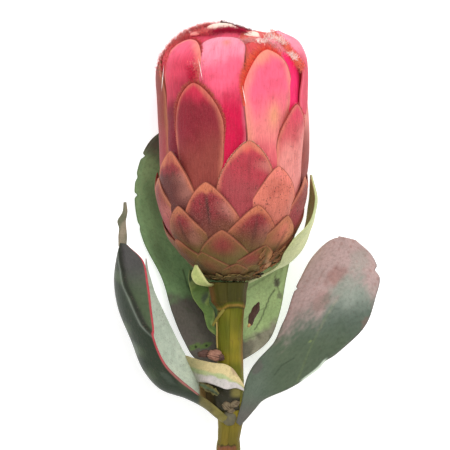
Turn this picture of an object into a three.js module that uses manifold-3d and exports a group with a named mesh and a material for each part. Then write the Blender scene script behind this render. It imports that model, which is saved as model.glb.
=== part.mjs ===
// A cut protea flower, lying on its back leaf. Millimetres, +Z up.
// It is modelled upright in a frame of its own: x across, y up the flower's axis, z from the axis to the front.
// At the end the whole flower is laid on its back, with its lowest face at Z = 0.

import * as THREE from "three";
import { mergeVertices } from "three/addons/utils/BufferGeometryUtils.js";
import Module from "manifold-3d";

const wasm = await Module();
wasm.setup();

// Bloom head: a barrel with a rounded foot and a squarer, closing crown
const bloomRadius = 31.1;
const bloomFoot = 67.2; // height of its underside
const bloomTop = 169.6;
const footRise = 40; // the foot rounds out over this height, as a quarter ellipse
const crownFall = 25; // the crown closes over this height
const crownPower = 2.5; // 2 would be an ellipse, and more is squarer

// Receptacle: the woody core that the bracts and florets grow from, with a cup for the florets
const coreInset = 3.4; // how far it stays under the barrel
const coreFoot = 8; // radius of the flat underside, where the stem meets it
const coreRim = 157; // height of the cup's rim
const rimRise = 1; // of its outer edge over its inner one
const cupRadius = 15;
const cupFloor = 120;
const coreSides = 28;

// Bracts: each one follows the last by the same turn, and later ones stand higher
const bractTurn = 138.05; // degrees
const bractStart = -9.7; // degrees, of bract 0
const firstBract = -16;
const lastBract = 45;
const bractLength = 60; // what shows, and what is sunk under the bracts outside it
const lowestRoot = 7; // how near the foot's middle a short bract begins
const bractGrowth = [
  // order, height of the tip, half width, tip to widest place, roundness of the tip
  [-16, 71.5, 8, 8, 1.4],
  [-13, 74, 9, 9, 1.4],
  [-5, 81.9, 12, 14, 1.35],
  [0, 87.8, 13.5, 17, 1.35],
  [5, 97.6, 14.5, 20, 1.35],
  [13, 107.2, 14.5, 20, 1.35],
  [21, 123.5, 14, 21, 1.45],
  [24, 138.4, 12, 14, 1.9],
  [26, 147, 11.7, 18, 1.6],
  [30, 161, 12.8, 16, 1.5],
  [34, 165, 9.6, 8.5, 2.2],
  [45, 168.9, 8, 8, 2.2],
];
// The bracts of the front stand a little off the rule: order, degrees about the axis, height of the tip
const frontBracts = new Map([
  [-13, [7, 74.1]],
  [-5, [36, 81.9]],
  [0, [-9.7, 87.8]],
  [3, [52, 93.7]],
  [5, [-46.5, 97.4]],
  [8, [19.5, 97.8]],
  [10, [-76, 109]],
  [11, [76, 109.6]],
  [13, [-18.2, 106.8]],
  [16, [39.2, 113.1]],
  [18, [-54.5, 119.2]],
  [19, [97, 119]],
  [21, [11.4, 122.9]],
  [23, [-84, 153]],
  [24, [58.1, 137.8]],
  [26, [-27, 145.8]],
  [29, [29, 159.4]],
  [31, [-46, 164.2]],
  [34, [-9.5, 164.7]],
  [37, [58.4, 166]],
]);
const recessMost = 3.6; // how deep a bract ends up under those outside it
const recessReach = 45;
const rootDrop = 1.8; // how much deeper its root ends, inside the core
const rootShare = 0.5; // of its length, where it starts to go deeper
const bractDip = 1.5; // how far its edges curve in from its middle
const tipDrop = 1.1; // how far its tip leans in
const tipReach = 10;
const bractEdge = 1.2; // thickness at the tip
const bractRoot = 4.6; // thickness where it is sunk in
const sinkReach = 16; // how far from the tip it is as thick as that
const bractRows = [0.003, 0.045, 0.13, 0.26, rootShare, 1]; // shares of its length, from the tip
const bractColumns = 4;

// Florets: a bundle that fills the cup, with separate tips at its crown
const floretCount = 26;
const floretSpacing = 2.6;
const floretGap = 0.4; // to the cup's wall and floor
const floretRadius = 1.35;
const floretTipShare = 0.45; // of that radius, at the tip
const floretSunk = 6; // how far its root lies under the rim
const bundleBevel = 3;
const bundleSides = 20;
const floretTop = 165.5;
const floretFall = 0.026; // how fast the crown of tips falls outwards, for each square millimetre of radius

// Stem: height, across, radius
const stemStations = [
  [-22, -1.5, 4.9],
  [-5, -1.4, 4.8],
  [0.2, -1.3, 5.2],
  [2.6, -1.3, 5.1],
  [4.4, -1.2, 4.7],
  [9, -0.6, 4.9],
  [14, -0.2, 5.5],
  [19, -0.2, 5.7],
  [26, -0.4, 5.3],
  [40, -0.6, 5.1],
  [52, -0.4, 5.2],
  [56, -0.3, 5.4],
  [57.4, -0.4, 6],
  [59, -0.6, 5.8],
  [63, -1.2, 6.2],
  [67.1, -1.4, 7],
];
const stemSides = 14;
const stemCut = 0.16; // slope of the cut end
const seat = 0.3; // gap between pieces that touch

// Leaves: three rails each, from the stem to the tip, as points across, up and out
const leafThickness = 0.9;
const leftLeaf = {
  near: [
    [-2.2, 12.8, 5.4], [-5.2, 15.8, 6.6], [-9.6, 19.6, 8.4], [-14.8, 24.4, 11.5], [-20.3, 29.4, 14],
    [-26.1, 35.8, 17], [-30, 44.6, 19], [-31.9, 56, 20], [-33.1, 66.5, 19], [-35.2, 76.2, 15],
    [-41.5, 82.3, 8],
  ],
  middle: [
    [-3.4, 11.6, 4.4], [-6.6, 14, 4.2], [-11, 17.6, 3.8], [-18.1, 21.7, 4], [-28.1, 25.6, 5],
    [-34.8, 33.5, 5], [-39.6, 45.1, 5], [-44.8, 56.9, 4], [-46.4, 68.1, 4], [-45.4, 77.3, 4],
    [-44, 82.8, 5],
  ],
  far: [
    [-4.4, 14, 3.2], [-6.8, 18, 1], [-9.4, 23.6, -3], [-13.9, 30, -6], [-18, 36.7, -9],
    [-24.9, 49.4, -14], [-30.1, 60.5, -15], [-32.6, 66.4, -14], [-34.2, 70.6, -12], [-37.6, 76, -7],
    [-42.6, 81.8, 3],
  ],
};
const leftLeafTip = {
  near: [
    [-45, 81.5, 5], [-45, 85.6, 5.4], [-44.8, 88.8, 4.6], [-45.4, 91.6, 5.2], [-43.4, 95.2, 5],
    [-43, 99.1, 5],
  ],
  far: [
    [-41.8, 81.5, 5], [-41.6, 85.6, 4.6], [-41.8, 88.8, 5.4], [-42, 91.6, 4.8], [-41.4, 95.2, 5.4],
    [-41.8, 99.1, 5],
  ],
};
const leftLeafBand = {
  near: [
    [-18.4, 37.3, -9], [-12.6, 36.2, 2.5], [-6.8, 35.3, 7.6], [-2.6, 34.9, 9], [0.4, 33.2, 9],
    [3, 29.6, 8.2], [4.8, 26.6, 7],
  ],
  far: [
    [-13.4, 26.8, -4], [-12.2, 27.4, 4], [-9, 27.2, 7.6], [-5, 26, 9.2], [-2, 25, 9.6], [1.6, 25.4, 8.8],
    [4.8, 24.2, 7],
  ],
};
const rightLeaf = {
  near: [
    [1.9, 11.6, 5], [2.9, 15.8, 5.8], [4.3, 20.8, 5.6], [5.4, 26.4, 5.4], [6.9, 31.4, 6], [10.5, 36.7, 8],
    [16.8, 42.7, 9], [20, 51.5, 8], [23.2, 58.6, 6], [27.2, 67.7, 5], [31.6, 76.9, 5], [37.6, 82.8, 5],
    [42.7, 85.4, 5],
  ],
  middle: [
    [2.8, 10.8, 5.1], [4.6, 14, 5.8], [7, 18.4, 6.2], [10, 23.2, 6.4], [14.5, 28.5, 7], [21.2, 35.7, 9],
    [27.4, 43.4, 11], [33.7, 51.8, 13], [38.4, 59.6, 13], [42, 67.5, 12], [44, 74.6, 11], [45.3, 80.1, 9],
    [45.5, 84.8, 6],
  ],
  far: [
    [3.4, 10.2, 4.6], [5.4, 12.2, 5.2], [8.6, 16.4, 5.4], [12.1, 19.6, 5], [20.9, 23.9, 4],
    [28.9, 29.1, 4], [38, 35.1, 5], [46.6, 43.2, 8], [53.4, 51.7, 12], [56.9, 61.6, 13],
    [58.6, 68.7, 11], [55.6, 77.7, 9], [49.4, 84, 7],
  ],
};
const backLeaf = {
  near: [
    [-3.8, 33.6, -5.4], [-13.9, 36.7, -9], [-19.2, 43.3, -13], [-24.2, 54.5, -18],
    [-28.5, 68.2, -23], [-36.4, 83.8, -26], [-39.7, 98.2, -27], [-38.9, 111.8, -27],
    [-33.1, 125.1, -28], [-17.1, 135.1, -31],
  ],
  middle: [
    [-2.2, 33.2, -5.6], [-2.6, 39.4, -11], [-3, 46.4, -17], [-3.4, 57.2, -24], [-4.3, 69.4, -29],
    [-5.5, 84.6, -32], [-6.7, 99.1, -34], [-8, 113.6, -34], [-9.6, 126.5, -34],
    [-11.3, 136.9, -33],
  ],
  far: [
    [-0.6, 33.6, -5.6], [6.7, 36.7, -9], [15.3, 43.3, -13], [19.8, 54.5, -18], [22.5, 68.2, -23],
    [25.8, 83.8, -26], [27.5, 98.2, -28], [25.8, 111.8, -28], [18, 125.1, -29], [-3.8, 134.7, -32],
  ],
};
// The cupping leaf follows the bloom: degrees about the axis, radius, height
const cuppingLeaf = {
  near: [
    [80, 5.2, 64.2], [62, 10.5, 67.2], [57, 14.8, 70.6], [66, 19.8, 74.2], [78, 23.6, 78.6],
    [87, 27, 83.5], [91, 30.5, 89.5], [93, 32.8, 95.5], [94, 33.6, 100.5], [97, 33, 106], [101, 32.4, 110],
  ],
  middle: [
    [92, 5.2, 64.1], [84, 11, 66.2], [84, 16.5, 69], [92, 22.5, 73], [100, 26.8, 78], [104, 30, 83.5],
    [106, 33, 89.8], [107, 35.2, 95.5], [107, 35.8, 100.3], [105, 34.4, 105.8], [102, 32.8, 110.2],
  ],
  far: [
    [104, 5.2, 64.1], [106, 11, 66], [110, 17, 69.2], [116, 23, 73.4], [120, 27.5, 78.4], [122, 31, 84],
    [122, 34, 90], [121, 36, 95.5], [119, 36.2, 100.3], [113, 34.6, 105.6], [104, 33, 110],
  ],
};
const strapLeaf = {
  near: [
    [-5.2, 44.8, -2], [-9.4, 48.4, -4.2], [-10.6, 52, -6], [-11.4, 54.8, -7.4], [-13.2, 57.2, -8.6],
    [-15.4, 60.2, -9.4], [-16.8, 64.4, -11], [-17.6, 68.4, -14], [-17.2, 71.5, -17],
  ],
  far: [
    [-4.6, 45.6, -2.4], [-6.3, 48.6, -4], [-6.6, 52, -5], [-7, 55.6, -6.4], [-9.2, 58.6, -7.8],
    [-8.6, 62.4, -9], [-8.4, 65.6, -11], [-9, 68.6, -14], [-9.5, 71.5, -18],
  ],
};
const foldedLeaf = {
  near: [
    [-6.8, 64.2, 3.6], [-11.5, 64.6, 6.6], [-16, 66.8, 9.6], [-17, 70.2, 11.6],
    [-14.4, 74.6, 14.2],
  ],
  far: [
    [-4.2, 64.2, 6.6], [-7.8, 65.4, 10], [-10.2, 68.6, 12.8], [-12, 71.8, 14], [-13.6, 74.4, 14.8],
  ],
};

// Buds: places along the middle, as across, up, out and radius
const dryBud = [
  [-9.8, 40.7, 4.2, 0.7],
  [-8.8, 40.2, 4.6, 2],
  [-6.8, 39.6, 5.4, 2.7],
  [-4.8, 39.2, 6.2, 2.3],
  [-3, 38.9, 5.8, 1.2],
];
const darkBud = [
  [5.2, 47.4, 0.8, 0.8],
  [7, 50, 1, 1.1],
  [7.8, 51.6, 1.1, 1.9],
  [9.4, 55.2, 1.3, 1.8],
  [10.8, 58.4, 1.4, 0.7],
];
const lowBud = [
  [-2.6, 18.6, 5.8, 0.9],
  [-1.4, 18.4, 6.9, 2.2],
  [0.8, 18.2, 7.2, 2.4],
  [2.6, 17.8, 6.6, 1.2],
];
const budSides = 10;

// Where it lies
const restTilt = 1.5; // degrees that the bloom's end is raised
const axisHeight = 31.3; // of the axis over the surface, at the height restsAt
const restsAt = 113;
const bloomRest = 1.2; // the bloom's own flat spot lies this high, on the leaf
const bedMiddle = [5.98, 72.47]; // the middle of the whole flower, which goes to the origin

const tilt = THREE.MathUtils.degToRad(restTilt);

// Depth, in the flower's frame, of the plane that lies this high over the surface, at a height up the axis
function depthOf(level, height) {
  return (level - axisHeight - (height - restsAt) * Math.sin(tilt)) / Math.cos(tilt);
}

function solidOf(positions, triangles) {
  return new wasm.Manifold(
    new wasm.Mesh({
      numProp: 3,
      vertProperties: new Float32Array(positions),
      triVerts: new Uint32Array(triangles),
    }),
  );
}

function solidFrom(geometry) {
  geometry.deleteAttribute("normal");
  geometry.deleteAttribute("uv");
  const merged = mergeVertices(geometry, 1e-4);
  return solidOf(merged.attributes.position.array, merged.index.array);
}

// The one body of a solid, with loose scraps dropped and sealed voids filled
function oneBody(solid) {
  return solid.decompose().reduce((best, piece) => (piece.volume() > best.volume() ? piece : best));
}

function meshOf(name, solid, colour, roughness) {
  const cut = solid.getMesh();
  const geometry = new THREE.BufferGeometry();
  geometry.setAttribute("position", new THREE.BufferAttribute(cut.vertProperties, 3));
  geometry.setIndex(new THREE.BufferAttribute(cut.triVerts, 1));
  geometry.computeVertexNormals();
  const material = new THREE.MeshStandardMaterial({ color: colour, roughness, metalness: 0 });
  const mesh = new THREE.Mesh(geometry, material);
  mesh.name = name;
  return mesh;
}

// A closed slab between two grids of points, both split along the same diagonals
function slab(outer, inner) {
  const rows = outer.length;
  const columns = outer[0].length;
  const positions = [...outer.flat(), ...inner.flat()].flatMap((point) => point.toArray());
  const top = (i, j) => i * columns + j;
  const under = (i, j) => rows * columns + top(i, j);
  const triangles = [];
  for (let i = 0; i < rows - 1; i++) {
    for (let j = 0; j < columns - 1; j++) {
      const [a, b, c, d] = [top(i, j), top(i, j + 1), top(i + 1, j), top(i + 1, j + 1)];
      triangles.push(a, b, c, b, d, c);
      const [e, f, g, h] = [under(i, j), under(i, j + 1), under(i + 1, j), under(i + 1, j + 1)];
      triangles.push(e, g, f, f, g, h);
    }
  }
  const wall = (first, second, firstUnder, secondUnder) =>
    triangles.push(first, second, firstUnder, second, secondUnder, firstUnder);
  for (let i = 0; i < rows - 1; i++) {
    wall(top(i, 0), top(i + 1, 0), under(i, 0), under(i + 1, 0));
    wall(top(i + 1, columns - 1), top(i, columns - 1), under(i + 1, columns - 1), under(i, columns - 1));
  }
  for (let j = 0; j < columns - 1; j++) {
    wall(top(0, j + 1), top(0, j), under(0, j + 1), under(0, j));
    wall(top(rows - 1, j), top(rows - 1, j + 1), under(rows - 1, j), under(rows - 1, j + 1));
  }
  const solid = solidOf(positions, triangles);
  return solid.volume() > 0 ? solid : slab(inner, outer);
}

// The barrel's outline from the foot's middle to the crown's middle, with its length so far
function measureBarrel() {
  const steps = 160;
  const outline = [];
  for (let i = 0; i <= steps; i++) {
    const angle = (i / steps) * (Math.PI / 2);
    const height = bloomFoot + footRise * (1 - Math.cos(angle));
    outline.push({ radius: bloomRadius * Math.sin(angle), height });
  }
  for (let i = 0; i <= steps; i++) {
    const angle = (i / steps) * (Math.PI / 2);
    const height = bloomTop - crownFall * (1 - Math.sin(angle) ** (2 / crownPower));
    outline.push({ radius: bloomRadius * Math.cos(angle) ** (2 / crownPower), height });
  }
  let length = 0;
  return outline.map((place, i) => {
    const last = outline[Math.max(i - 1, 0)];
    length += Math.hypot(place.radius - last.radius, place.height - last.height);
    return { ...place, length };
  });
}
const barrel = measureBarrel();

// The place on the outline at a length from the foot, with its outward normal
function barrelAt(length) {
  const next = Math.max(barrel.findIndex((place) => place.length >= length), 1);
  const [low, high] = [barrel[next - 1], barrel[next]];
  const share = (length - low.length) / Math.max(high.length - low.length, 1e-9);
  const along = new THREE.Vector2(high.radius - low.radius, high.height - low.height).normalize();
  return {
    radius: THREE.MathUtils.lerp(low.radius, high.radius, share),
    height: THREE.MathUtils.lerp(low.height, high.height, share),
    outward: [along.y, -along.x],
  };
}

// The length along the outline at which it reaches a height
function barrelLength(height) {
  const next = barrel.findIndex((place) => place.height >= height);
  const [low, high] = [barrel[next - 1], barrel[next]];
  const share = (height - low.height) / (high.height - low.height);
  return THREE.MathUtils.lerp(low.length, high.length, share);
}

// The point at an angle about the axis, a length along the outline and an offset out from it
function onBarrel(angle, length, offset) {
  const place = barrelAt(length);
  const radius = place.radius + place.outward[0] * offset;
  return new THREE.Vector3(
    radius * Math.sin(angle),
    place.height + place.outward[1] * offset,
    radius * Math.cos(angle),
  );
}

// The row of a table at an order between its own, straight between the two nearest
function growthAt(order) {
  const next = Math.max(bractGrowth.findIndex((row) => row[0] >= order), 1);
  const [low, high] = [bractGrowth[next - 1], bractGrowth[next]];
  const share = (order - low[0]) / (high[0] - low[0]);
  return low.map((value, i) => THREE.MathUtils.lerp(value, high[i], share));
}

function bract(order) {
  const [, ruleTip, halfWidth, widestAt, roundness] = growthAt(order);
  const [degrees, tip] = frontBracts.get(order) ?? [bractStart + bractTurn * order, ruleTip];
  const middle = THREE.MathUtils.degToRad(degrees);
  const tipLength = barrelLength(tip);
  const length = Math.min(bractLength, tipLength - lowestRoot);
  const grid = (depth) =>
    bractRows.map((row) => {
      const down = row * length;
      const narrow = Math.max(1 - down / widestAt, 0);
      const half = halfWidth * (1 - narrow ** roundness) ** (1 / roundness);
      const rooted = rootDrop * Math.max((row - rootShare) / (1 - rootShare), 0);
      const recess = recessMost * (1 - Math.exp(-down / recessReach)) + rooted;
      const lean = tipDrop * Math.max(1 - down / tipReach, 0) ** 2;
      const { radius } = barrelAt(tipLength - down);
      return Array.from({ length: bractColumns + 1 }, (_, column) => {
        const across = ((2 * column) / bractColumns - 1) * half;
        const dip = bractDip * (across / halfWidth) ** 2;
        return onBarrel(middle + across / radius, tipLength - down, -recess - lean - dip - depth(down));
      });
    });
  const sinking = (down) => THREE.MathUtils.lerp(bractEdge, bractRoot, Math.min(down / sinkReach, 1));
  return slab(grid(() => 0), grid(sinking));
}

function core() {
  const foot = bloomFoot + seat;
  const outline = [new THREE.Vector2(0, foot), new THREE.Vector2(coreFoot, foot)];
  const firstLength = 2 * coreFoot;
  const rimLength = barrelLength(coreRim);
  const steps = 13;
  for (let i = 0; i <= steps; i++) {
    const place = barrelAt(THREE.MathUtils.lerp(firstLength, rimLength, i / steps));
    const radius = place.radius - place.outward[0] * coreInset;
    outline.push(new THREE.Vector2(radius, place.height - place.outward[1] * coreInset));
  }
  outline.push(new THREE.Vector2(cupRadius, coreRim - rimRise));
  outline.push(new THREE.Vector2(cupRadius, cupFloor));
  outline.push(new THREE.Vector2(0, cupFloor));
  return solidFrom(new THREE.LatheGeometry(outline, coreSides));
}

// A slab that holds everything lower than a level over the surface
function below(level) {
  const size = 400;
  const box = new THREE.BoxGeometry(size, size, size);
  box.translate(0, 0, -size / 2);
  box.rotateX(-tilt);
  box.translate(0, restsAt, depthOf(level, restsAt));
  return solidFrom(box);
}

function bloom() {
  let head = core();
  for (let order = firstBract; order <= lastBract; order++) head = head.add(bract(order));
  return oneBody(head.subtract(below(bloomRest)));
}

function florets() {
  const foot = cupFloor + floretGap;
  const radius = cupRadius - floretGap;
  const outline = [
    [0, foot],
    [radius, foot],
    [radius, coreRim - bundleBevel],
    [radius - bundleBevel, coreRim],
    [0, coreRim + bundleBevel],
  ];
  const points = outline.map((point) => new THREE.Vector2(...point));
  let bundle = solidFrom(new THREE.LatheGeometry(points, bundleSides));
  for (let i = 0; i < floretCount; i++) {
    const out = floretSpacing * Math.sqrt(i);
    const turn = THREE.MathUtils.degToRad(bractTurn * i);
    const height = floretTop - floretFall * out * out;
    const sunk = coreRim - floretSunk;
    const spike = new THREE.CylinderGeometry(floretRadius * floretTipShare, floretRadius, height - sunk, 4);
    spike.translate(out * Math.sin(turn), (height + sunk) / 2, out * Math.cos(turn));
    bundle = bundle.add(solidFrom(spike));
  }
  return oneBody(bundle);
}

// A closed body through rings of points, each ring a list of as many points
function loft(rings) {
  const sides = rings[0].length;
  const middle = (ring) => ring.reduce((sum, point) => sum.add(point), new THREE.Vector3()).divideScalar(sides);
  const points = [...rings.flat(), middle(rings[0]), middle(rings.at(-1))];
  const positions = points.flatMap((point) => point.toArray());
  const foot = rings.length * sides;
  const triangles = [];
  for (let j = 0; j < sides; j++) {
    const next = (j + 1) % sides;
    for (let i = 0; i < rings.length - 1; i++) {
      const [a, b, c, d] = [i * sides + j, i * sides + next, (i + 1) * sides + j, (i + 1) * sides + next];
      triangles.push(a, b, c, b, d, c);
    }
    const last = (rings.length - 1) * sides;
    triangles.push(foot, next, j, foot + 1, last + j, last + next);
  }
  return solidOf(positions, triangles);
}

function ringAbout(centre, radius, sides, first, second) {
  return Array.from({ length: sides }, (_, i) => {
    const angle = (2 * Math.PI * i) / sides;
    return centre
      .clone()
      .addScaledVector(first, radius * Math.cos(angle))
      .addScaledVector(second, radius * Math.sin(angle));
  });
}

// The stem, or with a margin the room that other pieces leave it
function stem(margin = 0) {
  const rings = stemStations.map(([height, across, radius], i) => {
    const ring = ringAbout(
      new THREE.Vector3(across, height, 0),
      radius + margin,
      stemSides,
      new THREE.Vector3(0, 0, 1),
      new THREE.Vector3(1, 0, 0),
    );
    if (i === 0) ring.forEach((point) => (point.y += stemCut * (point.x - across)));
    return ring;
  });
  return loft(rings);
}

function bud(stations) {
  const centres = stations.map(([across, up, out]) => new THREE.Vector3(across, up, out));
  const rings = centres.map((centre, i) => {
    const ahead = centres[Math.min(i + 1, centres.length - 1)];
    const behind = centres[Math.max(i - 1, 0)];
    const along = ahead.clone().sub(behind).normalize();
    const second = new THREE.Vector3(0, 0, 1).cross(along).normalize();
    return ringAbout(centre, stations[i][3], budSides, second.clone().cross(along), second);
  });
  const solid = loft(rings);
  return solid.volume() > 0 ? solid : loft(rings.reverse());
}

// The room that other pieces leave the bloom
function bloomRoom() {
  const steps = 40;
  const outline = Array.from({ length: steps + 1 }, (_, i) => {
    const place = barrelAt((i / steps) * barrel.at(-1).length);
    return new THREE.Vector2(
      i % steps === 0 ? 0 : place.radius + place.outward[0] * seat,
      place.height + place.outward[1] * seat,
    );
  });
  return solidFrom(new THREE.LatheGeometry(outline, 40));
}

function smooth(points) {
  return new THREE.CatmullRomCurve3(points.map((point) => new THREE.Vector3(...point)), false, "centripetal");
}

// A thin leaf through two or three rails. Between three, each cross-section is the parabola through them.
function leaf({ rails, along, across, wave = 0, waves = 3, settle = (point) => point }) {
  const near = smooth(rails.near);
  const far = smooth(rails.far);
  const middle = rails.middle ? smooth(rails.middle) : null;
  const surface = (s, t) => {
    const [first, last] = [near.getPoint(s), far.getPoint(s)];
    const centre = middle ? middle.getPoint(s) : first.clone().add(last).divideScalar(2);
    return centre
      .multiplyScalar(1 - t * t)
      .addScaledVector(first, (t * (t - 1)) / 2)
      .addScaledVector(last, (t * (t + 1)) / 2);
  };
  const step = 1e-3;
  const pick = (s, t) => {
    const [low, high] = [Math.max(s - step, 0), Math.min(s + step, 1)];
    const ahead = surface(high, t).sub(surface(low, t));
    const aside = surface(s, Math.min(t + step, 1)).sub(surface(s, Math.max(t - step, -1)));
    return { point: surface(s, t), normal: ahead.cross(aside).normalize() };
  };
  const grid = (side) =>
    Array.from({ length: along + 1 }, (_, i) =>
      Array.from({ length: across + 1 }, (_, j) => {
        const [s, t] = [i / along, (2 * j) / across - 1];
        const { point, normal } = pick(s, t);
        const ripple = wave * t * t * Math.sin(2 * Math.PI * waves * s + t) * Math.sin(Math.PI * s);
        const placed = point.addScaledVector(normal, ripple + (side * leafThickness) / 2);
        return settle(placed, side);
      }),
    );
  return slab(grid(1), grid(-1));
}

// Keeps a leaf's point on or over the surface, with the leaf's thickness between its two faces
function bedded(upper) {
  return (point, side) => {
    const level = side === upper ? leafThickness : 0;
    point.z = Math.max(point.z, depthOf(level, point.y));
    return point;
  };
}

function aroundAxis(points) {
  return points.map(([degrees, radius, height]) => {
    const angle = THREE.MathUtils.degToRad(degrees);
    return [radius * Math.sin(angle), height, radius * Math.cos(angle)];
  });
}

function leftLeafSolid() {
  const blade = leaf({ rails: leftLeaf, along: 12, across: 6 });
  const tip = leaf({ rails: leftLeafTip, along: 7, across: 1 });
  const band = leaf({ rails: leftLeafBand, along: 8, across: 2 });
  return blade.add(tip).add(band);
}

function cuppingLeafSolid() {
  const { near, middle, far } = cuppingLeaf;
  const rails = { near: aroundAxis(near), middle: aroundAxis(middle), far: aroundAxis(far) };
  return leaf({ rails, along: 10, across: 4 });
}

function build() {
  const flower = new THREE.Group();
  const stemRoom = stem(seat);
  const headRoom = bloomRoom();
  const trimmed = (solid) => oneBody(solid.subtract(stemRoom));
  const tucked = (solid) => oneBody(solid.subtract(stemRoom).subtract(headRoom));
  const right = leaf({ rails: rightLeaf, along: 13, across: 6, wave: 0.7 });
  const back = leaf({ rails: backLeaf, along: 14, across: 8, settle: bedded(-1) });
  const folded = leaf({ rails: foldedLeaf, along: 5, across: 2 });
  const strap = leaf({ rails: strapLeaf, along: 9, across: 3 });
  flower.add(meshOf("stem", stem(), 0x7a7432, 0.6));
  flower.add(meshOf("bloom", bloom(), 0xc84458, 0.55));
  flower.add(meshOf("florets", florets(), 0xe8c8b8, 0.7));
  flower.add(meshOf("leaf_left", trimmed(leftLeafSolid()), 0x4c6040, 0.5));
  flower.add(meshOf("leaf_right", trimmed(right), 0x75807a, 0.5));
  flower.add(meshOf("leaf_back", trimmed(back), 0x5f8a4c, 0.5));
  flower.add(meshOf("leaf_cupping", tucked(cuppingLeafSolid()), 0xc8d2a0, 0.5));
  flower.add(meshOf("leaf_folded", tucked(folded), 0xb4c878, 0.5));
  flower.add(meshOf("leaf_strap", tucked(strap), 0x6c9a50, 0.5));
  flower.add(meshOf("bud_dry", trimmed(bud(dryBud)), 0xa06a58, 0.8));
  flower.add(meshOf("bud_dark", trimmed(bud(darkBud)), 0x5a3434, 0.8));
  flower.add(meshOf("bud_low", trimmed(bud(lowBud)), 0x8a8268, 0.8));
  flower.rotation.x = tilt;
  flower.position.set(-bedMiddle[0], -bedMiddle[1], axisHeight - restsAt * Math.sin(tilt));
  return flower;
}

const group = new THREE.Group();
group.add(build());

export default group;
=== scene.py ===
# A cut protea flower lying on its back leaf, on a pale studio floor.
# Shapes are worked out in the flower's own frame, in mm: x across, y up the axis, z towards the
# front. inWorld lays them down, in metres.
import math

import bpy
import numpy as np
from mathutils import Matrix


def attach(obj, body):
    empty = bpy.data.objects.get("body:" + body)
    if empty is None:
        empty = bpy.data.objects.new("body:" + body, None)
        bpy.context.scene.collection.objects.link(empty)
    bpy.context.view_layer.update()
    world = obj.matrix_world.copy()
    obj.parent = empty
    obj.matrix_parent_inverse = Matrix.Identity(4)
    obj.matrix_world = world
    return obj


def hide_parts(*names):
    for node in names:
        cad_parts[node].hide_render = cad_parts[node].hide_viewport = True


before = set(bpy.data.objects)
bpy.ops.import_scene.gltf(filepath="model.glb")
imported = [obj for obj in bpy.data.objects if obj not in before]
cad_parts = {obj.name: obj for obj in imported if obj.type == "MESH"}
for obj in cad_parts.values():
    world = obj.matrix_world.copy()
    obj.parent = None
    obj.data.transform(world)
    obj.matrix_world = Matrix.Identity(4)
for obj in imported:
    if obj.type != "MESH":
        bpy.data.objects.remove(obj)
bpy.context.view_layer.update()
print("frame loaded:", len(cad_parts), "nodes")

lying = {
    "tilt": 1.5,  # degrees that the bloom's end is raised
    "axisHeight": 31.3,  # of the axis over the floor, at the height restsAt
    "restsAt": 113.0,
    "middle": (5.98, 72.47),  # the place of the flower's own frame that lies over the origin
    "floor": 0.02,  # nothing is lower than this
}
tilt = math.radians(lying["tilt"])


def inWorld(points):
    p = np.asarray(points, float)
    across, up, out = p[..., 0], p[..., 1], p[..., 2]
    lift = lying["axisHeight"] - lying["restsAt"] * math.sin(tilt)
    x = across - lying["middle"][0]
    y = up * math.cos(tilt) - out * math.sin(tilt) - lying["middle"][1]
    z = up * math.sin(tilt) + out * math.cos(tilt) + lift
    return np.stack([x, y, np.maximum(z, lying["floor"])], -1) / 1000


# Camera, lights and floor

studio = {
    "eye": (-2.6, 90.0, 900.0),  # in the flower's frame
    "lens": 180,
    "sensor": 36,
    "farthest": 20,
    "floorSize": 6.0,
    "floorColor": (0.97, 0.97, 0.97),
    "sky": 0.74,
    "floorGlow": 0.32,
    # name: place over the flower, size, watts
    "lamps": {
        "key": ((0.45, 0.35, 1.7), 1.0, 12.0),
        "fill": ((-0.9, -0.2, 1.5), 1.3, 5.0),
        "crown": ((-0.1, 1.4, 0.8), 0.8, 2.0),
    },
}


def makeCamera():
    data = bpy.data.cameras.new("camera")
    data.lens = studio["lens"]
    data.sensor_width = studio["sensor"]
    data.clip_end = studio["farthest"]
    camera = bpy.data.objects.new("camera", data)
    camera.location = inWorld(studio["eye"])
    camera.rotation_euler = (tilt, 0, 0)
    bpy.context.scene.collection.objects.link(camera)
    bpy.context.scene.camera = camera


def makeLamps():
    for name, (place, size, power) in studio["lamps"].items():
        data = bpy.data.lights.new(name, "AREA")
        data.shape = "DISK"
        data.size = size
        data.energy = power
        lamp = bpy.data.objects.new(name, data)
        lamp.location = place
        away = lamp.location.normalized()
        lamp.rotation_euler = away.to_track_quat("Z", "Y").to_euler()
        bpy.context.scene.collection.objects.link(lamp)
    world = bpy.data.worlds.new("studio")
    world.use_nodes = True
    world.node_tree.nodes["Background"].inputs["Color"].default_value = (1, 1, 1, 1)
    world.node_tree.nodes["Background"].inputs["Strength"].default_value = studio["sky"]
    bpy.context.scene.world = world
    bpy.context.scene.view_settings.view_transform = "Standard"


makeCamera()
makeLamps()
print("camera and lamps set")


# Mesh store: points in the flower's frame, faces, and values that the materials read

def newStore():
    return {"points": [], "faces": [], "values": {}, "tones": [], "count": 0}


def addPart(store, points, faces, values, tones):
    flat = np.asarray(points, float).reshape(-1, 3)
    start = store["count"]
    rows = faces.tolist() if isinstance(faces, np.ndarray) else faces
    store["points"].append(flat)
    store["faces"].extend([start + corner for corner in face] for face in rows)
    for name in {**store["values"], **values}:  # a part that lacks a value has 0 there
        chunks = store["values"].setdefault(name, [np.zeros(start, np.float32)])
        chunks.append(np.broadcast_to(values.get(name, 0), len(flat)).astype(np.float32))
    store["tones"].append(np.broadcast_to(np.reshape(tones, (-1, 3)), (len(flat), 3)))
    store["count"] += len(flat)


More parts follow.
